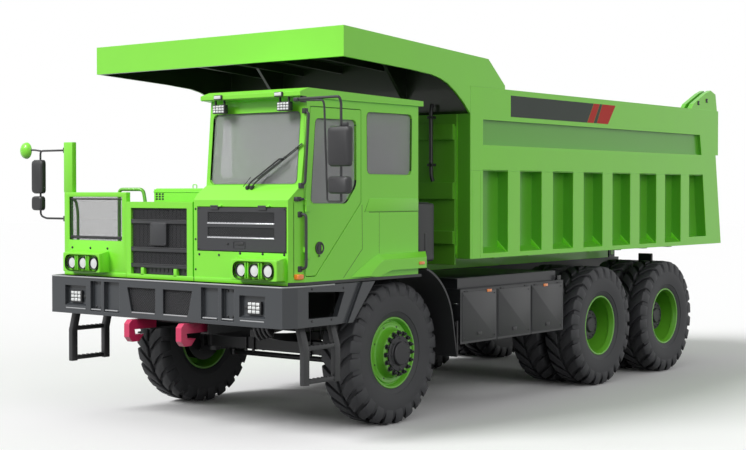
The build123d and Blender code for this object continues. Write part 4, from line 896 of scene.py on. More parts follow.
def white_lenses(shape):
    """The clear faces of the bumper, head, roof and visor lamps."""
    for side in (-1, 1):
        low, high = sorted((side * 1.200, side * 1.363))
        led_grid(shape, (low, 1.256), (high, 1.374), BUMPER_FACE + 0.015, 3, 3)
    for _, _, middle in PODS:
        for shift in LAMP_SHIFTS:
            back = at(middle + shift, POD_FACE + 0.027, LAMP_Z)
            front = back + FORWARD * 0.010
            add_rod(shape, back, front, 0.059, sides=40, end_radius=0.054)
            add_rod(shape, front, back + FORWARD * 0.016, 0.054, sides=40, end_radius=0.030)
    for low, high in ROOF_LAMPS:
        led_grid(shape, (low, 3.191), (high, 3.271), -1.651, 4, 3, 0.005)
    for low, high in VISOR_LAMPS:
        add_box(shape, at(low + 0.008, -1.683, 3.329), at(high - 0.008, -1.675, 3.361), 0.004)


def tail_lenses(shape):
    """Three red bars on each tail lamp."""
    for side in (-1, 1):
        low, high = sorted((side * 0.81, side * 1.0))
        for z in (1.40, 1.448, 1.496):
            add_box(shape, at(low, 6.829, z), at(high, 6.839, z + 0.036), 0.004)


def headlamp_rings(shape):
    """The black ring round each row of headlamps, and the bolts that hold the pod."""
    for low, high, middle in PODS:
        add_frame(shape, pod_opening(middle, POD_FACE - 0.012), 0.013, AFT * 0.046)
        bolt_xs = (low, (low + high) / 2, high - 0.02)
        add_bolts(shape, [at(x, NOSE - 0.0015, 1.824) for x in bolt_xs], FORWARD, 0.009)


trim("pod_shells", GREEN, pod_shells, node="headlamp_pods")
trim("bumper_grilles", PANEL_GREY, bumper_grilles, both=True)
trim("bumper_backing", PLASTIC, bumper_backing, both=True)
trim("bumper_fittings", FRAME_BLACK, bumper_fittings, both=True)
trim("lamp_housings", PLASTIC, lamp_housings, node="lamps")
trim("white_lenses", LAMP_WHITE, white_lenses, crease=50)
trim("tail_lenses", RED_LENS, tail_lenses)
trim("headlamp_rings", PLASTIC, headlamp_rings)


# Centre grille: a dark core behind expanded metal, three lipped bars, a bare plate and two brackets
def grille_core(shape):
    add_box(shape, at(-0.563, NOSE + 0.037, 1.575), at(0.252, NOSE + 0.0395, 2.251))
    for index in range(14):
        x = -0.55 + index * 0.06
        add_box(shape, at(x, NOSE + 0.030, 1.60), at(x + 0.022, NOSE + 0.038, 2.24), 0.002, 1)


def grille_mesh(shape):
    for low, high in ((1.679, 1.808), (1.847, 2.095), (2.131, 2.251)):
        add_lattice(shape, at(-0.563, NOSE + 0.022, low), ACROSS, UP, 0.815, high - low, 0.0280, 0.0029)


def grille_bars(shape):
    """Three lipped bars, and the bare plate with its bolts."""
    for low, high in ((2.095, 2.131), (1.808, 1.847), (1.644, 1.679)):
        add_box(shape, at(-0.564, NOSE + 0.002, low - 0.002), at(0.253, NOSE + 0.039, high + 0.002), 0.006)
        add_box(shape, at(-0.560, NOSE - 0.004, high - 0.004), at(0.249, NOSE + 0.010, high + 0.006), 0.003)
    outline = round_corners(upright((-0.265, -0.034), (1.872, 2.104), NOSE - 0.012), 0.02)
    add_plate(shape, outline, AFT * 0.030, 0.004)
    add_bolts(shape, [at(x, NOSE - 0.012, z) for z in (1.89, 2.086) for x in (-0.245, -0.054)],
              FORWARD, 0.006, 0.004)


def grille_brackets(shape):
    for x in (-0.415, 0.065):
        add_box(shape, at(x, NOSE - 0.004, 1.562), at(x + 0.045, NOSE + 0.036, 1.642), 0.004)
        add_box(shape, at(x - 0.012, NOSE + 0.004, 1.562), at(x + 0.057, NOSE + 0.034, 1.574), 0.003)


trim("grille_core", PLASTIC, grille_core)
trim("grille_mesh", PANEL_GREY, grille_mesh)
trim("grille_bars", PANEL_GREY, grille_bars)
trim("grille_brackets", GREEN, grille_brackets)


# Fence: a fine screen in a dark frame, with the handrails behind it
def fence_screen(shape):
    add_lattice(shape, at(-1.534, NOSE + 0.020, 1.908), ACROSS, UP, 0.829, 0.456, 0.0170, 0.0020)


def fence_frame(shape):
    outline = upright((-1.535, -0.704), (1.907, 2.365), NOSE + 0.010)
    add_frame(shape, outline, 0.020, AFT * 0.018, 0.003)
    add_box(shape, at(-1.53, NOSE + 0.012, 2.335), at(-0.71, NOSE + 0.028, 2.352), 0.003)
    add_box(shape, at(-1.53, NOSE + 0.012, 1.920), at(-0.71, NOSE + 0.028, 1.952), 0.003)
    add_bolts(shape, along(at(-1.50, NOSE + 0.012, 1.936), at(-0.74, NOSE + 0.012, 1.936), 5), FORWARD, 0.007)


def fence_body(shape):
    """The green panel that holds the screen, with the post of the right mirrors."""
    outer = round_corners(upright((-1.616, -0.634), (1.562, 2.415), NOSE), 0.006, 2)
    inner = round_corners(upright((-1.536, -0.703), (1.906, 2.366), NOSE), 0.006, 2)
    add_holed_plate(shape, outer, inner, AFT * 0.058, 0.004)
    add_box(shape, at(-1.625, NOSE, 2.413), at(-1.483, NOSE + 0.058, 2.953), 0.006)


def deck_rails(shape):
    """Handrails on the deck beside the cab."""
    add_pipe(shape, [at(-0.93, -1.55, 1.56), at(-0.93, -1.55, 2.445), at(-0.615, -1.50, 2.445),
                     at(-0.575, -1.50, 2.27), at(-0.575, -1.50, 1.56)], 0.019, 0.05, 12)
    add_pipe(shape, [at(-1.60, -1.645, 2.335), at(-1.52, -1.645, 2.335), at(-1.49, -1.640, 2.22),
                     at(-1.49, -1.635, 1.56)], 0.016, 0.06, 12)
    for place in (at(-0.93, -1.55, 1.562), at(-0.575, -1.50, 1.562), at(-1.49, -1.635, 1.562)):
        add_rod(shape, place, place + UP * 0.010, 0.036, 16)


def deck_tread_plate(shape):
    """A tread plate on the deck, with rows of raised bars."""
    add_box(shape, at(-1.60, -1.64, 1.561), at(-0.66, 0.28, 1.567), 0.002, 1)
    for row in range(26):
        for column in range(12):
            x = -1.56 + column * 0.078 + (0.039 if row % 2 else 0)
            place = at(x, -1.60 + row * 0.072, 1.567)
            tilt = Vector((0.013, 0.013 if row % 2 else -0.013, 0))
            add_rod(shape, place - tilt, place + tilt, 0.0045, 4)


trim("fence_body", GREEN, fence_body, node="fence_panel")
trim("fence_screen", FRAME_BLACK, fence_screen)
trim("fence_frame", PLASTIC, fence_frame)
# The rails take the darker wheel green as painted shade.
trim("deck_rails", WHEEL_GREEN, deck_rails)
trim("deck_tread_plate", FRAME_BLACK, deck_tread_plate)


# Power cabinet: louvred vent, lid, lifting loops and doors
def cabinet_trim(shape):
    """The lid, its lifting loops, and three doors on the right side."""
    add_box(shape, at(-0.456, -1.506, 2.412), at(0.306, 0.156, 2.428), 0.005)
    add_box(shape, at(-0.440, -1.490, 2.428), at(0.290, 0.140, 2.455), 0.010)
    for station in (-1.40, 0.05):
        add_pipe(shape, [at(0.02, station, 2.45), at(0.02, station, 2.492), at(0.075, station, 2.492),
                         at(0.075, station, 2.45)], 0.005, 0.012, 8)
    for low, high in ((-1.44, -0.95), (-0.90, -0.42), (-0.37, 0.10)):
        corners = [(low, 1.62), (high, 1.62), (high, 2.38), (low, 2.38)]
        add_plate(shape, round_corners(on_side(corners, -0.4515), 0.03), ACROSS * -0.008, 0.003)


def cabinet_vents(shape):
    """The small grid on the front, and the louvres and handle of each door."""
    for column in range(3):
        for row in range(3):
            x, z = -0.425 + column * 0.045, 2.335 + row * 0.026
            add_box(shape, at(x, -1.503, z), at(x + 0.030, -1.499, z + 0.018), 0.002, 1)
    for station in (-1.20, -0.66, -0.14):
        for row in range(7):
            z = 1.75 + row * 0.035
            add_box(shape, at(-0.4625, station - 0.11, z), at(-0.459, station + 0.11, z + 0.012), 0.001, 1)
        add_box(shape, at(-0.476, station + 0.15, 2.02), at(-0.458, station + 0.18, 2.12), 0.005)


trim("cabinet_trim", GREEN, cabinet_trim)
trim("cabinet_vents", PLASTIC, cabinet_vents)


# Service flap: expanded metal in both slots, their bright lower lips and the lock
FLAP_SLOTS = ((2.112, 2.220), (1.972, 2.073))
SLOT_XS = (0.553, 1.433)


def flap_mesh(shape):
    for low, high in FLAP_SLOTS:
        corner = at(SLOT_XS[0], NOSE - 0.001, low + 0.010)
        add_lattice(shape, corner, ACROSS, UP, 0.880, high - low - 0.012, 0.0240, 0.0028)


def flap_fittings(shape):
    """The dark backs of both slots, the lock, the handle's frame and the corner bolts."""
    for low, high in FLAP_SLOTS:
        add_box(shape, at(SLOT_XS[0], NOSE + 0.009, low + 0.02), at(SLOT_XS[1], NOSE + 0.0125, high - 0.002))
    add_rod(shape, at(0.820, NOSE - 0.004, 1.912), at(0.820, NOSE - 0.012, 1.912), 0.012, 20, edge=0.002)
    handle = round_corners(upright((0.905, 1.055), (1.868, 1.938), NOSE - 0.009), 0.012)
    add_frame(shape, handle, 0.008, AFT * 0.006)
    add_box(shape, at(0.925, NOSE - 0.010, 1.900), at(1.035, NOSE - 0.003, 1.928), 0.004)
    for z in (1.857, 2.255):
        add_bolts(shape, [at(x, NOSE - 0.005, z) for x in (0.425, 1.56)], FORWARD, 0.007, 0.005)


def flap_lips(shape):
    """The bright lower lip of each slot, with its row of small teeth."""
    for low, _ in FLAP_SLOTS:
        add_box(shape, at(0.549, NOSE - 0.012, low - 0.007), at(1.437, NOSE + 0.004, low + 0.005), 0.003)
        for index in range(44):
            x = 0.556 + index * 0.02
            add_box(shape, at(x, NOSE - 0.010, low + 0.004), at(x + 0.010, NOSE - 0.004, low + 0.011))


trim("flap_mesh", PANEL_GREY, flap_mesh, body="service_flap")
trim("flap_fittings", PLASTIC, flap_fittings, body="service_flap")
trim("flap_lips", STEEL, flap_lips, body="service_flap")


# Cab: window seals, wiper, grab rails, fasteners, door latch, seams, side lamps and roof ribs
SCREEN_FOOT = (-1.600, 2.480)
SCREEN_HEAD = (-1.530, 3.310)
SCREEN_LEAN = (SCREEN_HEAD[0] - SCREEN_FOOT[0]) / (SCREEN_HEAD[1] - SCREEN_FOOT[1])


def screen_at(x, z, out):
    """A place on the windscreen's slope, stood out from the glass."""
    return at(x, SCREEN_FOOT[0] + (z - SCREEN_FOOT[1]) * SCREEN_LEAN - out, z)


DOOR_WINDOW = [(-1.484, 2.309), (-1.411, 3.122), (-0.795, 3.126), (-0.793, 2.480), (-0.948, 2.304)]
QUARTER_WINDOW = [(-0.618, 2.598), (-0.625, 3.215), (0.129, 3.218), (0.118, 2.595)]
RIGHT_WINDOW = [(-1.450, 2.560), (-1.400, 3.150), (0.100, 3.150), (0.100, 2.560)]
WINDSCREEN = [(0.462, 2.495), (1.608, 2.495), (1.608, 3.186), (0.462, 3.186)]
SEAL_WIDTH = 0.017


def window_seal(shape, outline, push):
    add_frame(shape, round_corners(outline, 0.055, 5), SEAL_WIDTH, push)


def door_window_seal(shape):
    window_seal(shape, on_side(DOOR_WINDOW, CAB_SIDE + 0.003), ACROSS * -0.026)


def cab_window_seals(shape):
    window_seal(shape, on_side(QUARTER_WINDOW, CAB_SIDE + 0.003), ACROSS * -0.026)
    window_seal(shape, on_side(RIGHT_WINDOW, 0.409), ACROSS * 0.026)
    window_seal(shape, [screen_at(x, z, 0.004) for x, z in WINDSCREEN], AFT * 0.030)
    window_seal(shape, upright((0.600, 1.480), (2.650, 3.150), 0.246), FORWARD * 0.026)


def windscreen_wiper(shape):
    """Two arms from their pivots to the blade's holder, the blade, its clips and a washer pipe."""
    pivots = (screen_at(1.000, 2.458, 0.020), screen_at(1.055, 2.458, 0.020))
    for pivot in pivots:
        add_rod(shape, pivot + AFT * 0.045, pivot + FORWARD * 0.020, 0.022, sides=20, edge=0.004)
        add_rod(shape, pivot + FORWARD * 0.012, pivot + FORWARD * 0.026, 0.013, sides=12)
    middle = screen_at(1.440, 2.728, 0.055)
    holder_ends = (middle + Vector((-0.02, 0, 0.006)), middle + Vector((0.02, 0, -0.006)))
    bends = (screen_at(1.06, 2.515, 0.050), screen_at(1.12, 2.510, 0.050))
    for pivot, bend, holder, radius in zip(pivots, bends, holder_ends, (0.008, 0.007)):
        add_pipe(shape, [pivot + FORWARD * 0.016, bend, holder], radius, 0.05, 8)
    add_rod(shape, middle + FORWARD * 0.012, middle + AFT * 0.030, 0.012, sides=12)
    add_rod(shape, screen_at(1.120, 2.545, 0.022), screen_at(1.665, 2.875, 0.022), 0.0065, sides=8)
    add_rod(shape, screen_at(1.130, 2.540, 0.010), screen_at(1.668, 2.866, 0.010), 0.0045, sides=6)
    for t in (0.12, 0.38, 0.62, 0.88):
        place = screen_at(1.120, 2.545, 0.020).lerp(screen_at(1.665, 2.875, 0.020), t)
        add_box(shape, place - Vector((0.012, 0.010, 0.008)), place + Vector((0.012, 0.012, 0.008)), 0.003, 1)
    add_rod(shape, screen_at(0.945, 2.470, 0.030), screen_at(1.035, 2.560, 0.030), 0.004, sides=6)


def grab_rails(shape):
    """The grab rails at the cab's front corner, with their feet."""
    x = CAB_SIDE + 0.045
    low = [at(1.655, -1.600, 2.205), at(x, -1.600, 2.205), at(x, -1.598, 1.700), at(1.655, -1.600, 1.688)]
    add_pipe(shape, low, 0.014, 0.05, 12)
    for z in (2.205, 1.688):
        add_box(shape, at(1.628, -1.632, z - 0.028), at(1.668, -1.566, z + 0.028), 0.006)
    high = [at(1.655, -1.548, 3.185), at(x - 0.010, -1.548, 3.165), at(x - 0.010, -1.602, 2.500),
            at(1.655, -1.606, 2.478)]
    add_pipe(shape, high, 0.013, 0.05, 12)
    for station, z in ((-1.545, 3.185), (-1.600, 2.478)):
        add_box(shape, at(1.650, station - 0.030, z - 0.025), at(1.690, station + 0.020, z + 0.025), 0.006)
    add_box(shape, at(1.612, -1.668, 2.330), at(1.672, -1.600, 2.372), 0.008)
    add_rod(shape, at(1.668, -1.620, 2.351), at(1.700, -1.600, 2.351), 0.012, sides=12)


def cab_fasteners(shape):
    """Bolts on the cab's front, and the vent, access panel and round cap on its back."""
    add_bolts(shape, [at(x, NOSE - 0.001, 1.800) for x in (0.43, 0.70)], FORWARD, 0.009, 0.005)
    add_bolts(shape, [at(0.380, NOSE - 0.001, z) for z in (1.65, 1.95, 2.25)], FORWARD, 0.008, 0.005)
    for row in range(8):
        z = 2.30 + row * 0.022
        add_box(shape, at(0.70, 0.243, z), at(1.35, 0.248, z + 0.010), 0.001, 1)
    add_box(shape, at(0.50, 0.243, 1.75), at(1.55, 0.247, 2.20), 0.002, 1)
    add_rod(shape, at(1.50, 0.245, 1.70), at(1.50, 0.275, 1.70), 0.045, sides=24, edge=0.006)


LATCH_CENTRE = at(CAB_SIDE, -1.354, 1.880)


def half_moon(reach, radius, first, step):
    """The outline of a half moon in the latch: eleven points along an arc, given in degrees."""
    return [round_axle(LATCH_CENTRE, reach, radius, radians(first + index * step)) for index in range(11)]


def door_latch(shape):
    """The door's round latch with its dark half-moon and its lock."""
    section = [(0.0, 0.0), (0.0, 0.062), (0.008, 0.062), (0.012, 0.058), (0.012, 0.046), (0.004, 0.043),
               (0.004, 0.0)]
    add_lathe(shape, section, LATCH_CENTRE, 40)
    add_plate(shape, half_moon(0.005, 0.041, 110, 14), ACROSS * 0.009, 0.002)
    lock = LATCH_CENTRE + Vector((0.004, -0.012, -0.075))
    add_rod(shape, lock, lock + ACROSS * 0.010, 0.008, 16)


def door_latch_pull(shape):
    add_plate(shape, half_moon(0.0045, 0.040, -55, 11), ACROSS * 0.004)


SEAM_PROUD = 0.0006


def add_seam(shape, points, x, width=0.005):
    """A narrow dark line on the cab's side, along (station, height) points."""
    for start, end in zip(points, points[1:]):
        first, last = at(x, *start), at(x, *end)
        along_it = (last - first).normalized()
        side = along_it.cross(ACROSS) * width / 2
        add_plate(shape, [first - side, last - side, last + side, first + side], ACROSS * SEAM_PROUD)


def cab_seams(shape):
    add_seam(shape, [(-0.700, 2.290), (-0.693, 1.852), (-0.989, 1.578)], CAB_SIDE)
    add_seam(shape, [(-0.585, 2.216), (0.235, 2.216)], CAB_SIDE, 0.006)
    add_seam(shape, [(-0.420, 2.216), (-0.420, 1.800)], CAB_SIDE, 0.003)
    add_seam(shape, [(-1.575, 1.60), (-1.575, 3.22)], CAB_SIDE - 0.0001, 0.004)
    add_seam(shape, [(-0.660, 2.216), (-0.585, 2.345), (0.235, 2.345)], CAB_SIDE, 0.004)


def cab_ridge(shape):
    """The pressed step above the fender, which runs to the cab's rear corner."""
    outline = on_side([(-0.655, 2.222), (-0.585, 2.350), (0.240, 2.350), (0.240, 2.222)], CAB_SIDE - 0.002)
    add_plate(shape, outline, ACROSS * 0.008, 0.004, 2)
    add_box(shape, at(0.405, 0.205, 1.60), at(0.445, 0.246, 3.29), 0.004)
    for z in (1.62, 2.40):
        add_box(shape, at(0.43, 0.242, z), at(1.64, 0.249, z + 0.06), 0.003)


def side_marker_lamps(shape):
    """Amber lamps on the cab's corner, the fender and the battery box."""
    add_box(shape, at(1.625, -1.668, 1.588), at(1.690, -1.586, 1.640), 0.012, 3)
    for place in (at(1.757, 0.20, 1.68), at(1.701, 1.55, 1.32), at(1.701, 2.75, 1.32)):
        add_box(shape, place - Vector((0.004, 0.045, 0.016)), place + Vector((0.010, 0.045, 0.016)), 0.005)


def roof_ribs(shape):
    """The gutter over the windscreen, and three ribs along the roof."""
    add_box(shape, at(0.395, -1.655, 3.318), at(1.702, -1.640, 3.326), 0.003, 1)
    for x in (0.72, 1.05, 1.38):
        add_rod(shape, at(x, -1.45, 3.402), at(x, 0.25, 3.3675), 0.012, sides=8)


trim("door_window_seal", SEAL, door_window_seal, body="door")
trim("cab_window_seals", SEAL, cab_window_seals)
trim("windscreen_wiper", PLASTIC, windscreen_wiper)
trim("grab_rails", FRAME_BLACK, grab_rails)
trim("cab_fasteners", PLASTIC, cab_fasteners)
trim("door_latch", PLASTIC, door_latch, body="door")
trim("door_latch_pull", GREEN, door_latch_pull, body="door")
trim("cab_seams", SEAM_GREEN, cab_seams)
trim("cab_ridge", GREEN, cab_ridge)
trim("side_marker_lamps", AMBER, side_marker_lamps)
trim("roof_ribs", GREEN, roof_ribs)


# Mirrors: housings with rounded backs, glass that faces rearwards, and the tubes that carry them
# How far each step of a mirror's back is drawn in, and how far forward it stands
MIRROR_BACK = ((0.965, 0.004), (0.975, 0.0), (1.0, 0.0), (1.0, 0.028), (0.95, 0.046), (0.80, 0.057))
ROUND_MIRROR = at(-2.275, -1.700, 2.875)


def mirror_shells(shape):
    for xs, zs in (((2.105, 2.370), (2.650, 3.020)), ((2.105, 2.360), (2.400, 2.560)),
                   ((-2.140, -1.950), (2.400, 2.770)), ((-2.140, -1.960), (2.215, 2.372))):
        outline = round_corners(upright(xs, zs, -1.698), 0.045, 5)
        add_loft(shape, [shrunk(outline, share, FORWARD * push) for share, push in MIRROR_BACK])


def mirror_tubes(shape):
    """The tubes, brackets and clamps that carry the mirrors on both sides."""
    add_pipe(shape, [at(1.690, -1.600, 3.285), at(1.715, -1.725, 3.285), at(2.235, -1.725, 3.290),
                     at(2.235, -1.700, 3.235), at(2.235, -1.700, 2.330)], 0.013, 0.05, 12)
    add_pipe(shape, [at(1.715, -1.720, 3.275), at(2.040, -1.722, 3.265), at(2.048, -1.715, 3.20),
                     at(2.070, -1.700, 2.330), at(2.235, -1.700, 2.330)], 0.010, 0.03, 10)
    add_box(shape, at(1.672, -1.628, 3.262), at(1.712, -1.572, 3.322), 0.006)
    add_box(shape, at(1.690, -1.748, 3.262), at(1.745, -1.700, 3.300), 0.008)
    for z in (2.700, 2.960, 2.440, 2.520):
        add_box(shape, at(2.215, -1.715, z - 0.020), at(2.255, -1.685, z + 0.020), 0.005)
    add_box(shape, at(2.270, -1.730, 3.018), at(2.330, -1.700, 3.050), 0.006)
    add_pipe(shape, [at(-1.610, -1.690, 2.868), at(-2.050, -1.690, 2.868), at(-2.050, -1.690, 2.160),
                     at(-1.960, -1.690, 2.130), at(-1.610, -1.690, 2.130)], 0.011, 0.04, 12)
    add_pipe(shape, [at(-2.050, -1.690, 2.868), at(-2.140, -1.700, 2.880), at(-2.230, -1.705, 2.880)],
             0.010, 0.03, 10)
    for z in (2.45, 2.72, 2.25, 2.33):
        add_box(shape, at(-2.068, -1.705, z - 0.018), at(-2.032, -1.675, z + 0.018), 0.005)
    for z in (2.868, 2.130):
        add_box(shape, at(-1.645, -1.715, z - 0.03), at(-1.600, -1.665, z + 0.03), 0.006)


def mirror_glass(shape):
    for xs, zs in (((2.113, 2.362), (2.658, 3.012)), ((2.113, 2.352), (2.408, 2.552)),
                   ((-2.132, -1.958), (2.408, 2.762)), ((-2.132, -1.968), (2.223, 2.364))):
        add_plate(shape, round_corners(upright(xs, zs, -1.7025), 0.038, 4), AFT * 0.003)
    add_rod(shape, ROUND_MIRROR, ROUND_MIRROR + AFT * 0.004, 0.078, sides=40)


def round_mirror_shell(shape):
    angles = [2 * pi * step / 48 for step in range(48)]
    circle = [Vector((cos(angle), 0, sin(angle))) for angle in angles]
    stages = ((0.0, 0.092), (0.022, 0.084), (0.042, 0.060), (0.054, 0.024))
    add_loft(shape, [[ROUND_MIRROR + FORWARD * push + place * radius for place in circle]
                     for push, radius in stages])


trim("mirror_shells", PLASTIC, mirror_shells, node="mirrors")
trim("mirror_tubes", FRAME_BLACK, mirror_tubes)
trim("mirror_glass", CHROME, mirror_glass)
trim("round_mirror_shell", GREEN, round_mirror_shell, crease=40)


# The cab's sill over the deck's edge, the bumper's lips with their painted highlight, and ladders of square
# tube
def nose_sill(shape):
    for low, high in ((-1.614, -0.637), (-0.634, 0.352), (0.360, 1.600)):
        add_box(shape, at(low, NOSE - 0.004, 1.529), at(high, NOSE + 0.001, 1.575), 0.002)


def bumper_lips(shape):
    """Light grey rods along the bumper's top and under its recesses: painted highlights on those edges."""
    route = ((-1.706, -1.30), (-1.706, -1.699), (-1.655, BUMPER_FACE),
             (1.655, BUMPER_FACE), (1.706, -1.699), (1.706, -1.16))
    add_pipe(shape, [at(x, station, 1.521) for x, station in route], 0.0085, 0.02, 8)
    for side in (-1, 1):
        for low, high in ((0.065, 0.400), (0.615, 0.805), (0.875, 1.022), (1.115, 1.425)):
            first, last = [at(x, BUMPER_FACE + 0.004, 1.189) for x in sorted((side * low, side * high))]
            add_rod(shape, first, last, 0.0075, 8)


LADDER_POSTS = ((-1.600, -1.520), (-1.140, -1.060))
LADDER_POST = ((1.700, 0.575), (1.700, 0.920), (1.636, 1.134), (1.576, 1.134), (1.640, 0.912), (1.640, 0.575))


def ladder_tubes(shape):
    """One ladder: two posts of square tube that lean in at the top, two rungs and two top plates."""
    for low, high in LADDER_POSTS:
        add_plate(shape, [at(x, low, z) for x, z in LADDER_POST], AFT * (high - low), 0.008)
    for z in (0.585, 0.905):
        add_box(shape, at(1.647, -1.525, z), at(1.693, -1.135, z + 0.046), 0.010)
        for index in range(6):
            station = -1.49 + index * 0.062
            add_box(shape, at(1.652, station, z + 0.044), at(1.688, station + 0.022, z + 0.051), 0.002, 1)
    for low, high in LADDER_POSTS:
        add_box(shape, at(1.560, low - 0.015, 1.122), at(1.655, high + 0.015, 1.133), 0.003)


trim("nose_sill", GREEN, nose_sill)
trim("bumper_lips", LIP_HIGHLIGHT_GREY, bumper_lips)
trim("ladder_tubes", FRAME_BLACK, ladder_tubes, both=True, node="ladders")


# Cab interior: two padded seats, the controls and the lining
# How far each step of a cushion is drawn in, and how high it stands as a share of the whole
CUSHION_STEPS = ((0.90, 0.0), (0.97, 0.08), (1.0, 0.30), (1.0, 0.58), (0.96, 0.78), (0.86, 0.90),
                 (0.66, 0.97), (0.36, 1.0))
SEAT_XS = (0.800, 1.350)


def cushion(shape, middle, across, along_it, up, width, length, height):
    """A padded block: a rounded outline that swells and closes in again, with a crowned top."""
    side, end = across * width / 2, along_it * length / 2
    corners = [middle - side - end, middle + side - end, middle + side + end, middle - side + end]
    outline = round_corners(corners, 0.07, 5)
    add_loft(shape, [shrunk(outline, share, up * height * rise) for share, rise in CUSHION_STEPS])


def seat_cushions(shape):
    """Each seat: three channels and two side rolls on the base and on the back, and a headrest."""
    lean = Vector((0, 0.12, 0.70)).normalized()
    out = Vector((0, -0.70, 0.12)).normalized()
    back = out * -0.015
    for x in SEAT_XS:
        for shift in (-0.165, 0.0, 0.165):
            cushion(shape, at(x + shift, -0.545, 2.112), ACROSS, AFT, UP, 0.160, 0.42, 0.060)
            cushion(shape, at(x + shift, -0.222, 2.460) + back, ACROSS, lean, out, 0.155, 0.56, 0.062)
        for side in (-1, 1):
            cushion(shape, at(x + side * 0.222, -0.530, 2.108), ACROSS, AFT, UP, 0.055, 0.45, 0.085)
            roll = at(x + side * 0.212, -0.228, 2.450) + back
            cushion(shape, roll, ACROSS, lean, out, 0.052, 0.58, 0.088)
        cushion(shape, at(x, -0.135, 2.905), ACROSS, UP, FORWARD, 0.225, 0.165, 0.055)


def seat_seams(shape):
    for x in SEAT_XS:
        for shift in (-0.0825, 0.0825):
            add_rod(shape, at(x + shift, -0.745, 2.132), at(x + shift, -0.345, 2.132), 0.0035, 6)
        add_pipe(shape, [at(x - 0.235, -0.785, 2.075), at(x + 0.235, -0.785, 2.075)], 0.004, 0.01, 6)


def cab_controls(shape):
    """The steering wheel on its column, the console with its lever, the instruments and the pedals."""
    centre = at(1.350, -1.045, 2.385)
    tilt = Matrix.Rotation(radians(-62), 3, "X")

    def on_wheel(radius, angle):
        return centre + tilt @ Vector((radius * cos(angle), 0, radius * sin(angle)))

    add_pipe(shape, [on_wheel(0.215, 2 * pi * index / 40) for index in range(41)], 0.014, 0.01, 8)
    for angle in (90, 210, 330):
        add_rod(shape, centre, on_wheel(0.208, radians(angle)), 0.011, 8)
    hub = tilt @ AFT
    add_rod(shape, centre + hub * 0.03, centre - hub * 0.02, 0.055, 24, edge=0.008)
    add_rod(shape, centre, at(1.350, -1.30, 2.20), 0.035, 16)
    add_box(shape, at(0.995, -0.90, 1.612), at(1.155, -0.30, 2.130), 0.025, 3)
    add_rod(shape, at(1.075, -0.72, 2.12), at(1.075, -0.74, 2.30), 0.010, 10)
    add_rod(shape, at(1.075, -0.742, 2.285), at(1.075, -0.748, 2.345), 0.024, 16, edge=0.008)
    panel = ((1.15, -1.205, 2.462), (1.55, -1.205, 2.462), (1.55, -1.225, 2.575), (1.15, -1.225, 2.575))
    add_plate(shape, [at(*corner) for corner in panel], AFT * 0.030, 0.012)
    add_box(shape, at(0.80, -1.24, 2.462), at(1.05, -1.215, 2.600), 0.008)
    for x in (1.24, 1.36, 1.48):
        add_box(shape, at(x - 0.03, -1.36, 1.640), at(x + 0.03, -1.300, 1.76), 0.010)


def cab_lining(shape):
    """The lining of the ceiling and of the back wall."""
    add_box(shape, at(0.470, -1.20, 3.255), at(1.610, 0.18, 3.275), 0.006)
    add_box(shape, at(0.470, 0.165, 1.70), at(1.610, 0.185, 2.62), 0.008)


trim("seat_cushions", SEAT_CLOTH, seat_cushions, crease=60)
trim("seat_seams", CAB_TRIM, seat_seams)
trim("cab_controls", PLASTIC, cab_controls)
trim("cab_lining", LINING_GREY, cab_lining)


# Load bed: the dark band with its stripes, gussets, weld lines and the bolts of the tail brackets
BAND_ZS = (3.265, 3.505)
BAND_PROUD = 0.0010
RIBS = 7
RIB_FIRST = 1.808
RIB_PITCH = 0.721
RIB_WIDTH = 0.250


def band_part(shape, low_stations, high_stations):
    """A slanted piece of the band, between two stations at its lower edge and two at its upper."""
    corners = [(low_stations[0], BAND_ZS[0]), (low_stations[1], BAND_ZS[0]),
               (high_stations[1], BAND_ZS[1]), (high_stations[0], BAND_ZS[1])]
    add_plate(shape, on_side(corners, BED_SIDE), ACROSS * BAND_PROUD)


def bed_band(shape):
    band_part(shape, (1.860, 3.575), (1.860, 3.735))
    band_part(shape, (3.740, 3.810), (3.895, 3.950))


def bed_stripes(shape):
    band_part(shape, (3.580, 3.735), (3.740, 3.890))
    band_part(shape, (3.815, 4.100), (3.955, 4.290))


def bed_gussets(shape):
    """Gussets at the foot of each rib, thin weld lines on the side, and three bars at the tail."""
    gusset = ((1.700, 1.700), (1.782, 1.700), (1.782, 1.735), (1.645, 1.870), (1.645, 1.790))
    for rib in range(RIBS):
        station = RIB_FIRST + rib * RIB_PITCH
        for edge in (station - 0.012, station + RIB_WIDTH):
            add_plate(shape, [at(x, edge, z) for x, z in gusset], AFT * 0.012)
    for station in (1.100, 1.250):
        add_box(shape, at(1.7830, station, 1.70), at(1.7850, station + 0.012, 2.64), 0.0008, 1)
    add_box(shape, at(1.7830, 1.060, 2.650), at(1.7850, 6.760, 2.656), 0.0008, 1)
    for bar in range(3):
        station, foot = 7.235 + bar * 0.027, 1.70 + bar * 0.108
        add_box(shape, at(1.60, station, foot), at(1.7825, station + 0.010, foot + 0.035), 0.002, 1)


def bracket_bolts(shape):
    """Two round caps on each tail bracket, each with a raised cross."""
    for station, z in ((6.665, 3.655), (6.930, 3.700)):
        foot = at(1.774, station, z)
        top = foot + ACROSS * 0.008
        add_rod(shape, foot, top, 0.030, 24)
        for angle in (45, 135):
            start, end = [round_axle(top, 0, radius, radians(angle)) for radius in (-0.034, 0.034)]
            add_rod(shape, start, end, 0.0075, 6)


trim("bed_band", BAND_DARK, bed_band, body="bed", both=True)
trim("bed_stripes", RED_STRIPE, bed_stripes, body="bed", both=True)
trim("bed_gussets", GREEN, bed_gussets, body="bed", both=True)
trim("bracket_bolts", PLASTIC, bracket_bolts, body="bed", both=True)


# Battery boxes, mudguards and what shows under the frame
BATTERY_PANELS = ((1.02, 1.685), (1.735, 2.405), (2.455, 3.13))


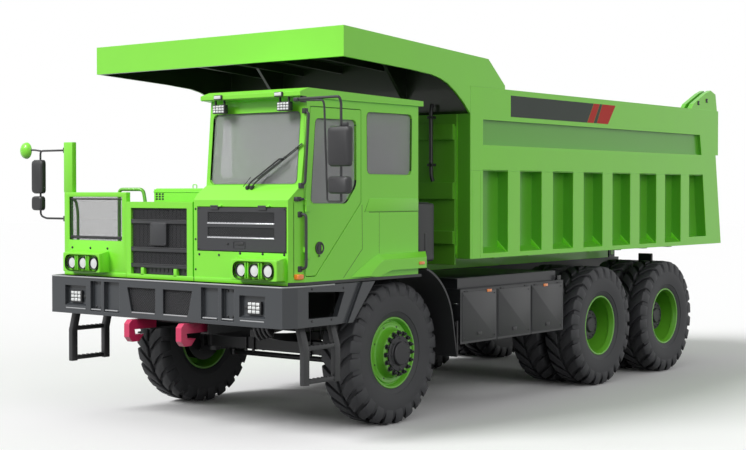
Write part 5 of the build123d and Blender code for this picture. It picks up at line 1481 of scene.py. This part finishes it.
def battery_trim(shape):
    """The battery boxes' lid, side panels and hinges, and the plate over them."""
    add_box(shape, at(1.0, 0.985, 1.352), at(1.703, 3.165, 1.362), 0.003)
    for low, high in BATTERY_PANELS:
        corners = [(low, 0.785), (high, 0.785), (high, 1.325), (low, 1.325)]
        add_plate(shape, round_corners(on_side(corners, 1.7005), 0.02), ACROSS * 0.004, 0.0015)
        for station in (low + 0.08, high - 0.08):
            add_rod(shape, at(1.703, station - 0.035, 1.333), at(1.703, station + 0.035, 1.333), 0.006, 10)
    add_box(shape, at(1.10, 0.95, 1.470), at(1.662, 3.00, 1.478), 0.002)


def battery_fittings(shape):
    """Each panel's latch and corner bolts, and a small block on the lid's rear end."""
    for low, high in BATTERY_PANELS:
        middle = (low + high) / 2
        add_box(shape, at(1.703, middle - 0.045, 0.835), at(1.710, middle + 0.045, 0.875), 0.003)
        add_rod(shape, at(1.706, middle - 0.022, 0.855), at(1.714, middle - 0.022, 0.855), 0.010, 14)
        bolts = [(station, z) for station in (low + 0.03, high - 0.03) for z in (0.82, 1.29)]
        add_bolts(shape, on_side(bolts, BOX_SIDE), ACROSS, 0.006, 0.004)
    add_box(shape, at(1.699, 3.02, 1.365), at(1.7035, 3.10, 1.420), 0.004)


def battery_rail(shape):
    """The bent steel rail on the left box's front."""
    route = ((1.28, 0.982, 0.84), (1.28, 0.974, 1.05), (1.50, 0.974, 1.20), (1.64, 0.974, 1.20),
             (1.66, 0.982, 1.20))
    add_pipe(shape, [at(*place) for place in route], 0.008, 0.05, 8)


def mudguard_trim(shape):
    """The beading, clamp bar and bolts of the flap behind each front wheel."""
    for x in (1.150, 1.700):
        add_rod(shape, at(x, 0.9285, 0.64), at(x, 0.9285, 1.02), 0.010, 8)
    add_bolts(shape, [at(x, 0.920, 0.985) for x in (1.22, 1.42, 1.63)], FORWARD, 0.010)
    add_box(shape, at(1.16, 0.912, 0.960), at(1.69, 0.921, 1.010), 0.003)


trim("battery_trim", BOX_GREY, battery_trim, both=True)
trim("battery_fittings", PLASTIC, battery_fittings, both=True)
trim("battery_rail", STEEL, battery_rail)
trim("mudguard_trim", PLASTIC, mudguard_trim, both=True)


def brake_chambers(shape):
    """A spring brake chamber on each side of both driven axles, with its rod, bracket and port."""
    for station in DRIVEN_AXLES.values():
        for x in (0.86, -0.86):
            centre = at(x, station + 0.235, 0.800)
            add_rod(shape, centre, centre + AFT * 0.075, 0.078, 28, edge=0.012)
            add_rod(shape, centre + AFT * 0.070, centre + AFT * 0.165, 0.085, 28, edge=0.016)
            add_rod(shape, centre + AFT * 0.066, centre + AFT * 0.080, 0.092, 28, edge=0.003)
            add_rod(shape, centre, centre + FORWARD * 0.090, 0.012, 10)
            bracket = (centre + Vector((-0.035, -0.105, -0.030)), centre + Vector((0.035, -0.078, 0.10)))
            add_box(shape, *bracket, 0.006)
            add_rod(shape, centre + Vector((0, 0.12, 0.080)), centre + Vector((0, 0.12, 0.115)), 0.012, 6)


def air_tanks(shape):
    """Two round air tanks between the rails, with their straps and drain plugs."""
    for side in (-1, 1):
        start, end = at(side * 0.30, 2.20, 1.185), at(side * 0.30, 3.12, 1.185)
        add_rod(shape, start, end, 0.115, 36, edge=0.035)
        for share in (0.22, 0.78):
            middle = start.lerp(end, share)
            add_rod(shape, middle - AFT * 0.018, middle + AFT * 0.018, 0.118, 36)
        middle = start.lerp(end, 0.5)
        add_rod(shape, middle - UP * 0.112, middle - UP * 0.140, 0.013, 6)


def spring_clamps(shape):
    """U-bolts, clamp plates and nuts on the front leaf springs, and a damper on each side."""
    for side in (-1, 1):
        x = side * 0.42
        for station in (-0.085, 0.085):
            for offset in (-0.056, 0.056):
                add_rod(shape, at(x + offset, station, 0.655), at(x + offset, station, 0.985), 0.011, 10)
                add_rod(shape, at(x + offset, station, 0.635), at(x + offset, station, 0.660), 0.019, 6)
        low, high = at(side * 0.700, 0.09, 0.72), at(side * 0.560, 0.30, 1.30)
        add_rod(shape, low, low.lerp(high, 0.55), 0.040, 24, edge=0.006)
        add_rod(shape, low.lerp(high, 0.5), high, 0.046, 24, edge=0.006)
        for end in (low, high):
            add_rod(shape, end - ACROSS * 0.04, end + ACROSS * 0.04, 0.026, 16, edge=0.004)


def steering_gear(shape):
    """The steering box on the left rail, with its shafts, cap and bolts."""
    add_box(shape, at(0.478, -0.98, 1.06), at(0.640, -0.74, 1.34), 0.025, 3)
    add_rod(shape, at(0.560, -0.86, 1.30), at(0.560, -0.86, 1.42), 0.060, 24, edge=0.010)
    add_rod(shape, at(0.560, -0.99, 1.22), at(0.560, -1.06, 1.22), 0.040, 20, edge=0.006)
    add_rod(shape, at(0.640, -0.86, 1.14), at(0.690, -0.86, 1.14), 0.045, 20, edge=0.006)
    for station in (-0.95, -0.77):
        add_bolts(shape, [at(0.6405, station, 1.10), at(0.6405, station, 1.30)], ACROSS, 0.012)


# A hose's bends, and the sleeve and nut of its fittings as shares of its radius
HOSE_BEND = 0.14
SLEEVE_SHARE = 1.35
HOSE_NUT_SHARE = 1.6


def hose_run(shape, points, radius):
    """A hose with a crimped fitting and a nut at both ends."""
    add_pipe(shape, points, radius, HOSE_BEND, 10)
    for end, after in ((points[0], points[1]), (points[-1], points[-2])):
        heading = (after - end).normalized()
        add_rod(shape, end, end + heading * radius * 5, radius * SLEEVE_SHARE, 12)
        add_rod(shape, end - heading * radius * 0.4, end + heading * radius * 1.4, radius * HOSE_NUT_SHARE, 6)


def hose_runs(shape):
    """Four steering hoses behind the bumper, and three from the oil tank behind the cab."""
    for index in range(4):
        x = 0.82 + index * 0.055
        hose_run(shape, [at(x, -1.36, 1.300), at(x, -1.36, 1.05), at(x - 0.05, -1.20, 0.90 + 0.02 * index),
                         at(0.66, -0.98 + 0.03 * index, 1.02)], 0.013)
    for index in range(3):
        x = 1.20 + index * 0.060
        hose_run(shape, [at(x, 0.330, 2.20 - 0.03 * index), at(x, 0.30, 2.00), at(x, 0.290, 1.80),
                         at(x - 0.02, 0.330, 1.66)], 0.012)


def oil_tank(shape):
    """The hydraulic oil tank behind the cab, with its straps, cap, gauge and bracket."""
    add_box(shape, at(1.02, 0.345, 1.680), at(1.610, 0.640, 2.300), 0.030, 3)
    for x in (1.13, 1.48):
        add_box(shape, at(x, 0.340, 1.672), at(x + 0.045, 0.645, 2.308), 0.006)
    add_rod(shape, at(1.31, 0.49, 2.298), at(1.31, 0.49, 2.345), 0.050, 28, edge=0.008)
    add_rod(shape, at(1.31, 0.49, 2.345), at(1.31, 0.49, 2.362), 0.036, 8)
    add_box(shape, at(1.606, 0.45, 1.80), at(1.618, 0.485, 1.98), 0.004)
    add_box(shape, at(0.400, 0.380, 1.478), at(0.500, 0.600, 1.500), 0.003)
    add_box(shape, at(0.452, 0.400, 1.498), at(0.490, 0.580, 1.672), 0.003)
    add_box(shape, at(0.452, 0.400, 1.655), at(1.560, 0.580, 1.680), 0.003)


def frame_bolts(shape):
    """Rows of bolts where brackets and crossmembers meet the rails."""
    for side in (-1, 1):
        for station in (-1.50, -0.62, 2.05, 3.25, 6.65):
            for z in (1.12, 1.24, 1.36):
                add_bolts(shape, [at(side * RAIL_SIDE, station + shift, z) for shift in (-0.03, 0.03)],
                          ACROSS * side, 0.011)
    square = ((-0.05, -0.05), (0.05, -0.05), (0.05, 0.05), (-0.05, 0.05))
    for station in DRIVEN_AXLES.values():
        for side in (-1, 1):
            add_bolts(shape, [at(side * 0.16 + dx, station + 0.30, TYRE_R + dz) for dx, dz in square],
                      AFT, 0.010)


def bed_rests(shape):
    """Rubber pads on the rails, where the lowered bed rests."""
    for side in (-1, 1):
        x = side * 0.445
        for station in (1.60, 2.60, 3.60, 5.20):
            add_box(shape, at(x - 0.03, station, 1.479), at(x + 0.03, station + 0.12, 1.488), 0.003)


def headboard_pipe(shape):
    """The wash pipe up the headboard's left side, with its clips."""
    route = ((0.985, 2.540), (0.955, 2.60), (0.950, 3.30), (0.975, 3.380))
    add_pipe(shape, on_side(route, 1.330), 0.022, 0.06, 12)
    for z in (2.70, 3.22):
        add_box(shape, at(1.295, 0.925, z), at(1.365, 1.000, z + 0.030), 0.004)


trim("brake_chambers", CAST_BLACK, brake_chambers)
trim("air_tanks", FRAME_BLACK, air_tanks)
trim("spring_clamps", FRAME_BLACK, spring_clamps)
trim("steering_gear", CAST_BLACK, steering_gear)
trim("hose_runs", PLASTIC, hose_runs)
trim("oil_tank", FRAME_BLACK, oil_tank)
trim("frame_bolts", FRAME_BLACK, frame_bolts)
trim("bed_rests", PLASTIC, bed_rests)
trim("headboard_pipe", PLASTIC, headboard_pipe, body="bed")


# Stage: a pale floor that stays white to the camera outside the truck's shadow.
# Of each pair of strengths, the camera sees the first, and the second lights the truck.
FLOOR_SHADES = (0.98, 0.06)
WORLD_STRENGTHS = (1.0, 0.42)
KEY_HEADING = (0.45, 0.85, -0.80)
FILL_HEADING = (-0.9, 0.25, -0.45)
CAMERA_PLACE = (10.5933, -14.5939, 2.4134)
CAMERA_DOWN = radians(1.2996)
CAMERA_TURN = radians(38.1618)
CAMERA_LENS = 69.39


def lit_by_camera(tree, strength_seen, strength_else):
    """One strength for what the camera sees, straight, mirrored or through glass, and one for the rest."""
    path = tree.nodes.new("ShaderNodeLightPath")
    seen = math_node(tree, "MAXIMUM", path.outputs["Is Camera Ray"], path.outputs["Is Glossy Ray"])
    seen = math_node(tree, "MAXIMUM", seen, path.outputs["Is Transmission Ray"])
    span = math_node(tree, "MULTIPLY", seen, strength_seen - strength_else)
    return math_node(tree, "ADD", span, strength_else)


def make_floor():
    shape = bmesh.new()
    bmesh.ops.create_grid(shape, x_segments=4, y_segments=4, size=90)
    mesh = bpy.data.meshes.new("floor")
    shape.to_mesh(mesh)
    shape.free()
    floor = bpy.data.objects.new("floor", mesh)
    bpy.context.scene.collection.objects.link(floor)
    material = bpy.data.materials.new("studio floor")
    material.use_nodes = True
    tree = material.node_tree
    shader = tree.nodes["Principled BSDF"]
    shader.inputs["Roughness"].default_value = 0.9
    shader.inputs["Specular IOR Level"].default_value = 0.0
    shade = tree.nodes.new("ShaderNodeCombineColor")
    level = lit_by_camera(tree, *FLOOR_SHADES)
    for channel in ("Red", "Green", "Blue"):
        tree.links.new(level, shade.inputs[channel])
    tree.links.new(shade.outputs["Color"], shader.inputs["Base Color"])
    mesh.materials.append(material)


def sun_lamp(name, heading, strength, spread):
    """A far lamp that shines along a heading, softened over an angle."""
    data = bpy.data.lights.new(name, "SUN")
    data.energy = strength
    data.angle = radians(spread)
    light = bpy.data.objects.new(name, data)
    bpy.context.scene.collection.objects.link(light)
    light.rotation_euler = Vector(heading).to_track_quat("-Z", "Y").to_euler()


def make_world():
    world = bpy.data.worlds.new("studio")
    bpy.context.scene.world = world
    world.use_nodes = True
    tree = world.node_tree
    background = tree.nodes["Background"]
    background.inputs["Color"].default_value = (1, 1, 1, 1)
    tree.links.new(lit_by_camera(tree, *WORLD_STRENGTHS), background.inputs["Strength"])


def make_camera():
    data = bpy.data.cameras.new("photo view")
    data.sensor_width = 36
    data.lens = CAMERA_LENS
    data.clip_end = 200
    camera = bpy.data.objects.new("photo view", data)
    bpy.context.scene.collection.objects.link(camera)
    camera.location = CAMERA_PLACE
    camera.rotation_euler = (pi / 2 - CAMERA_DOWN, 0, CAMERA_TURN)
    bpy.context.scene.camera = camera


make_floor()
make_world()
sun_lamp("key", KEY_HEADING, strength=2.5, spread=24)
sun_lamp("fill", FILL_HEADING, strength=0.60, spread=40)
make_camera()
bpy.context.scene.view_settings.view_transform = "Standard"
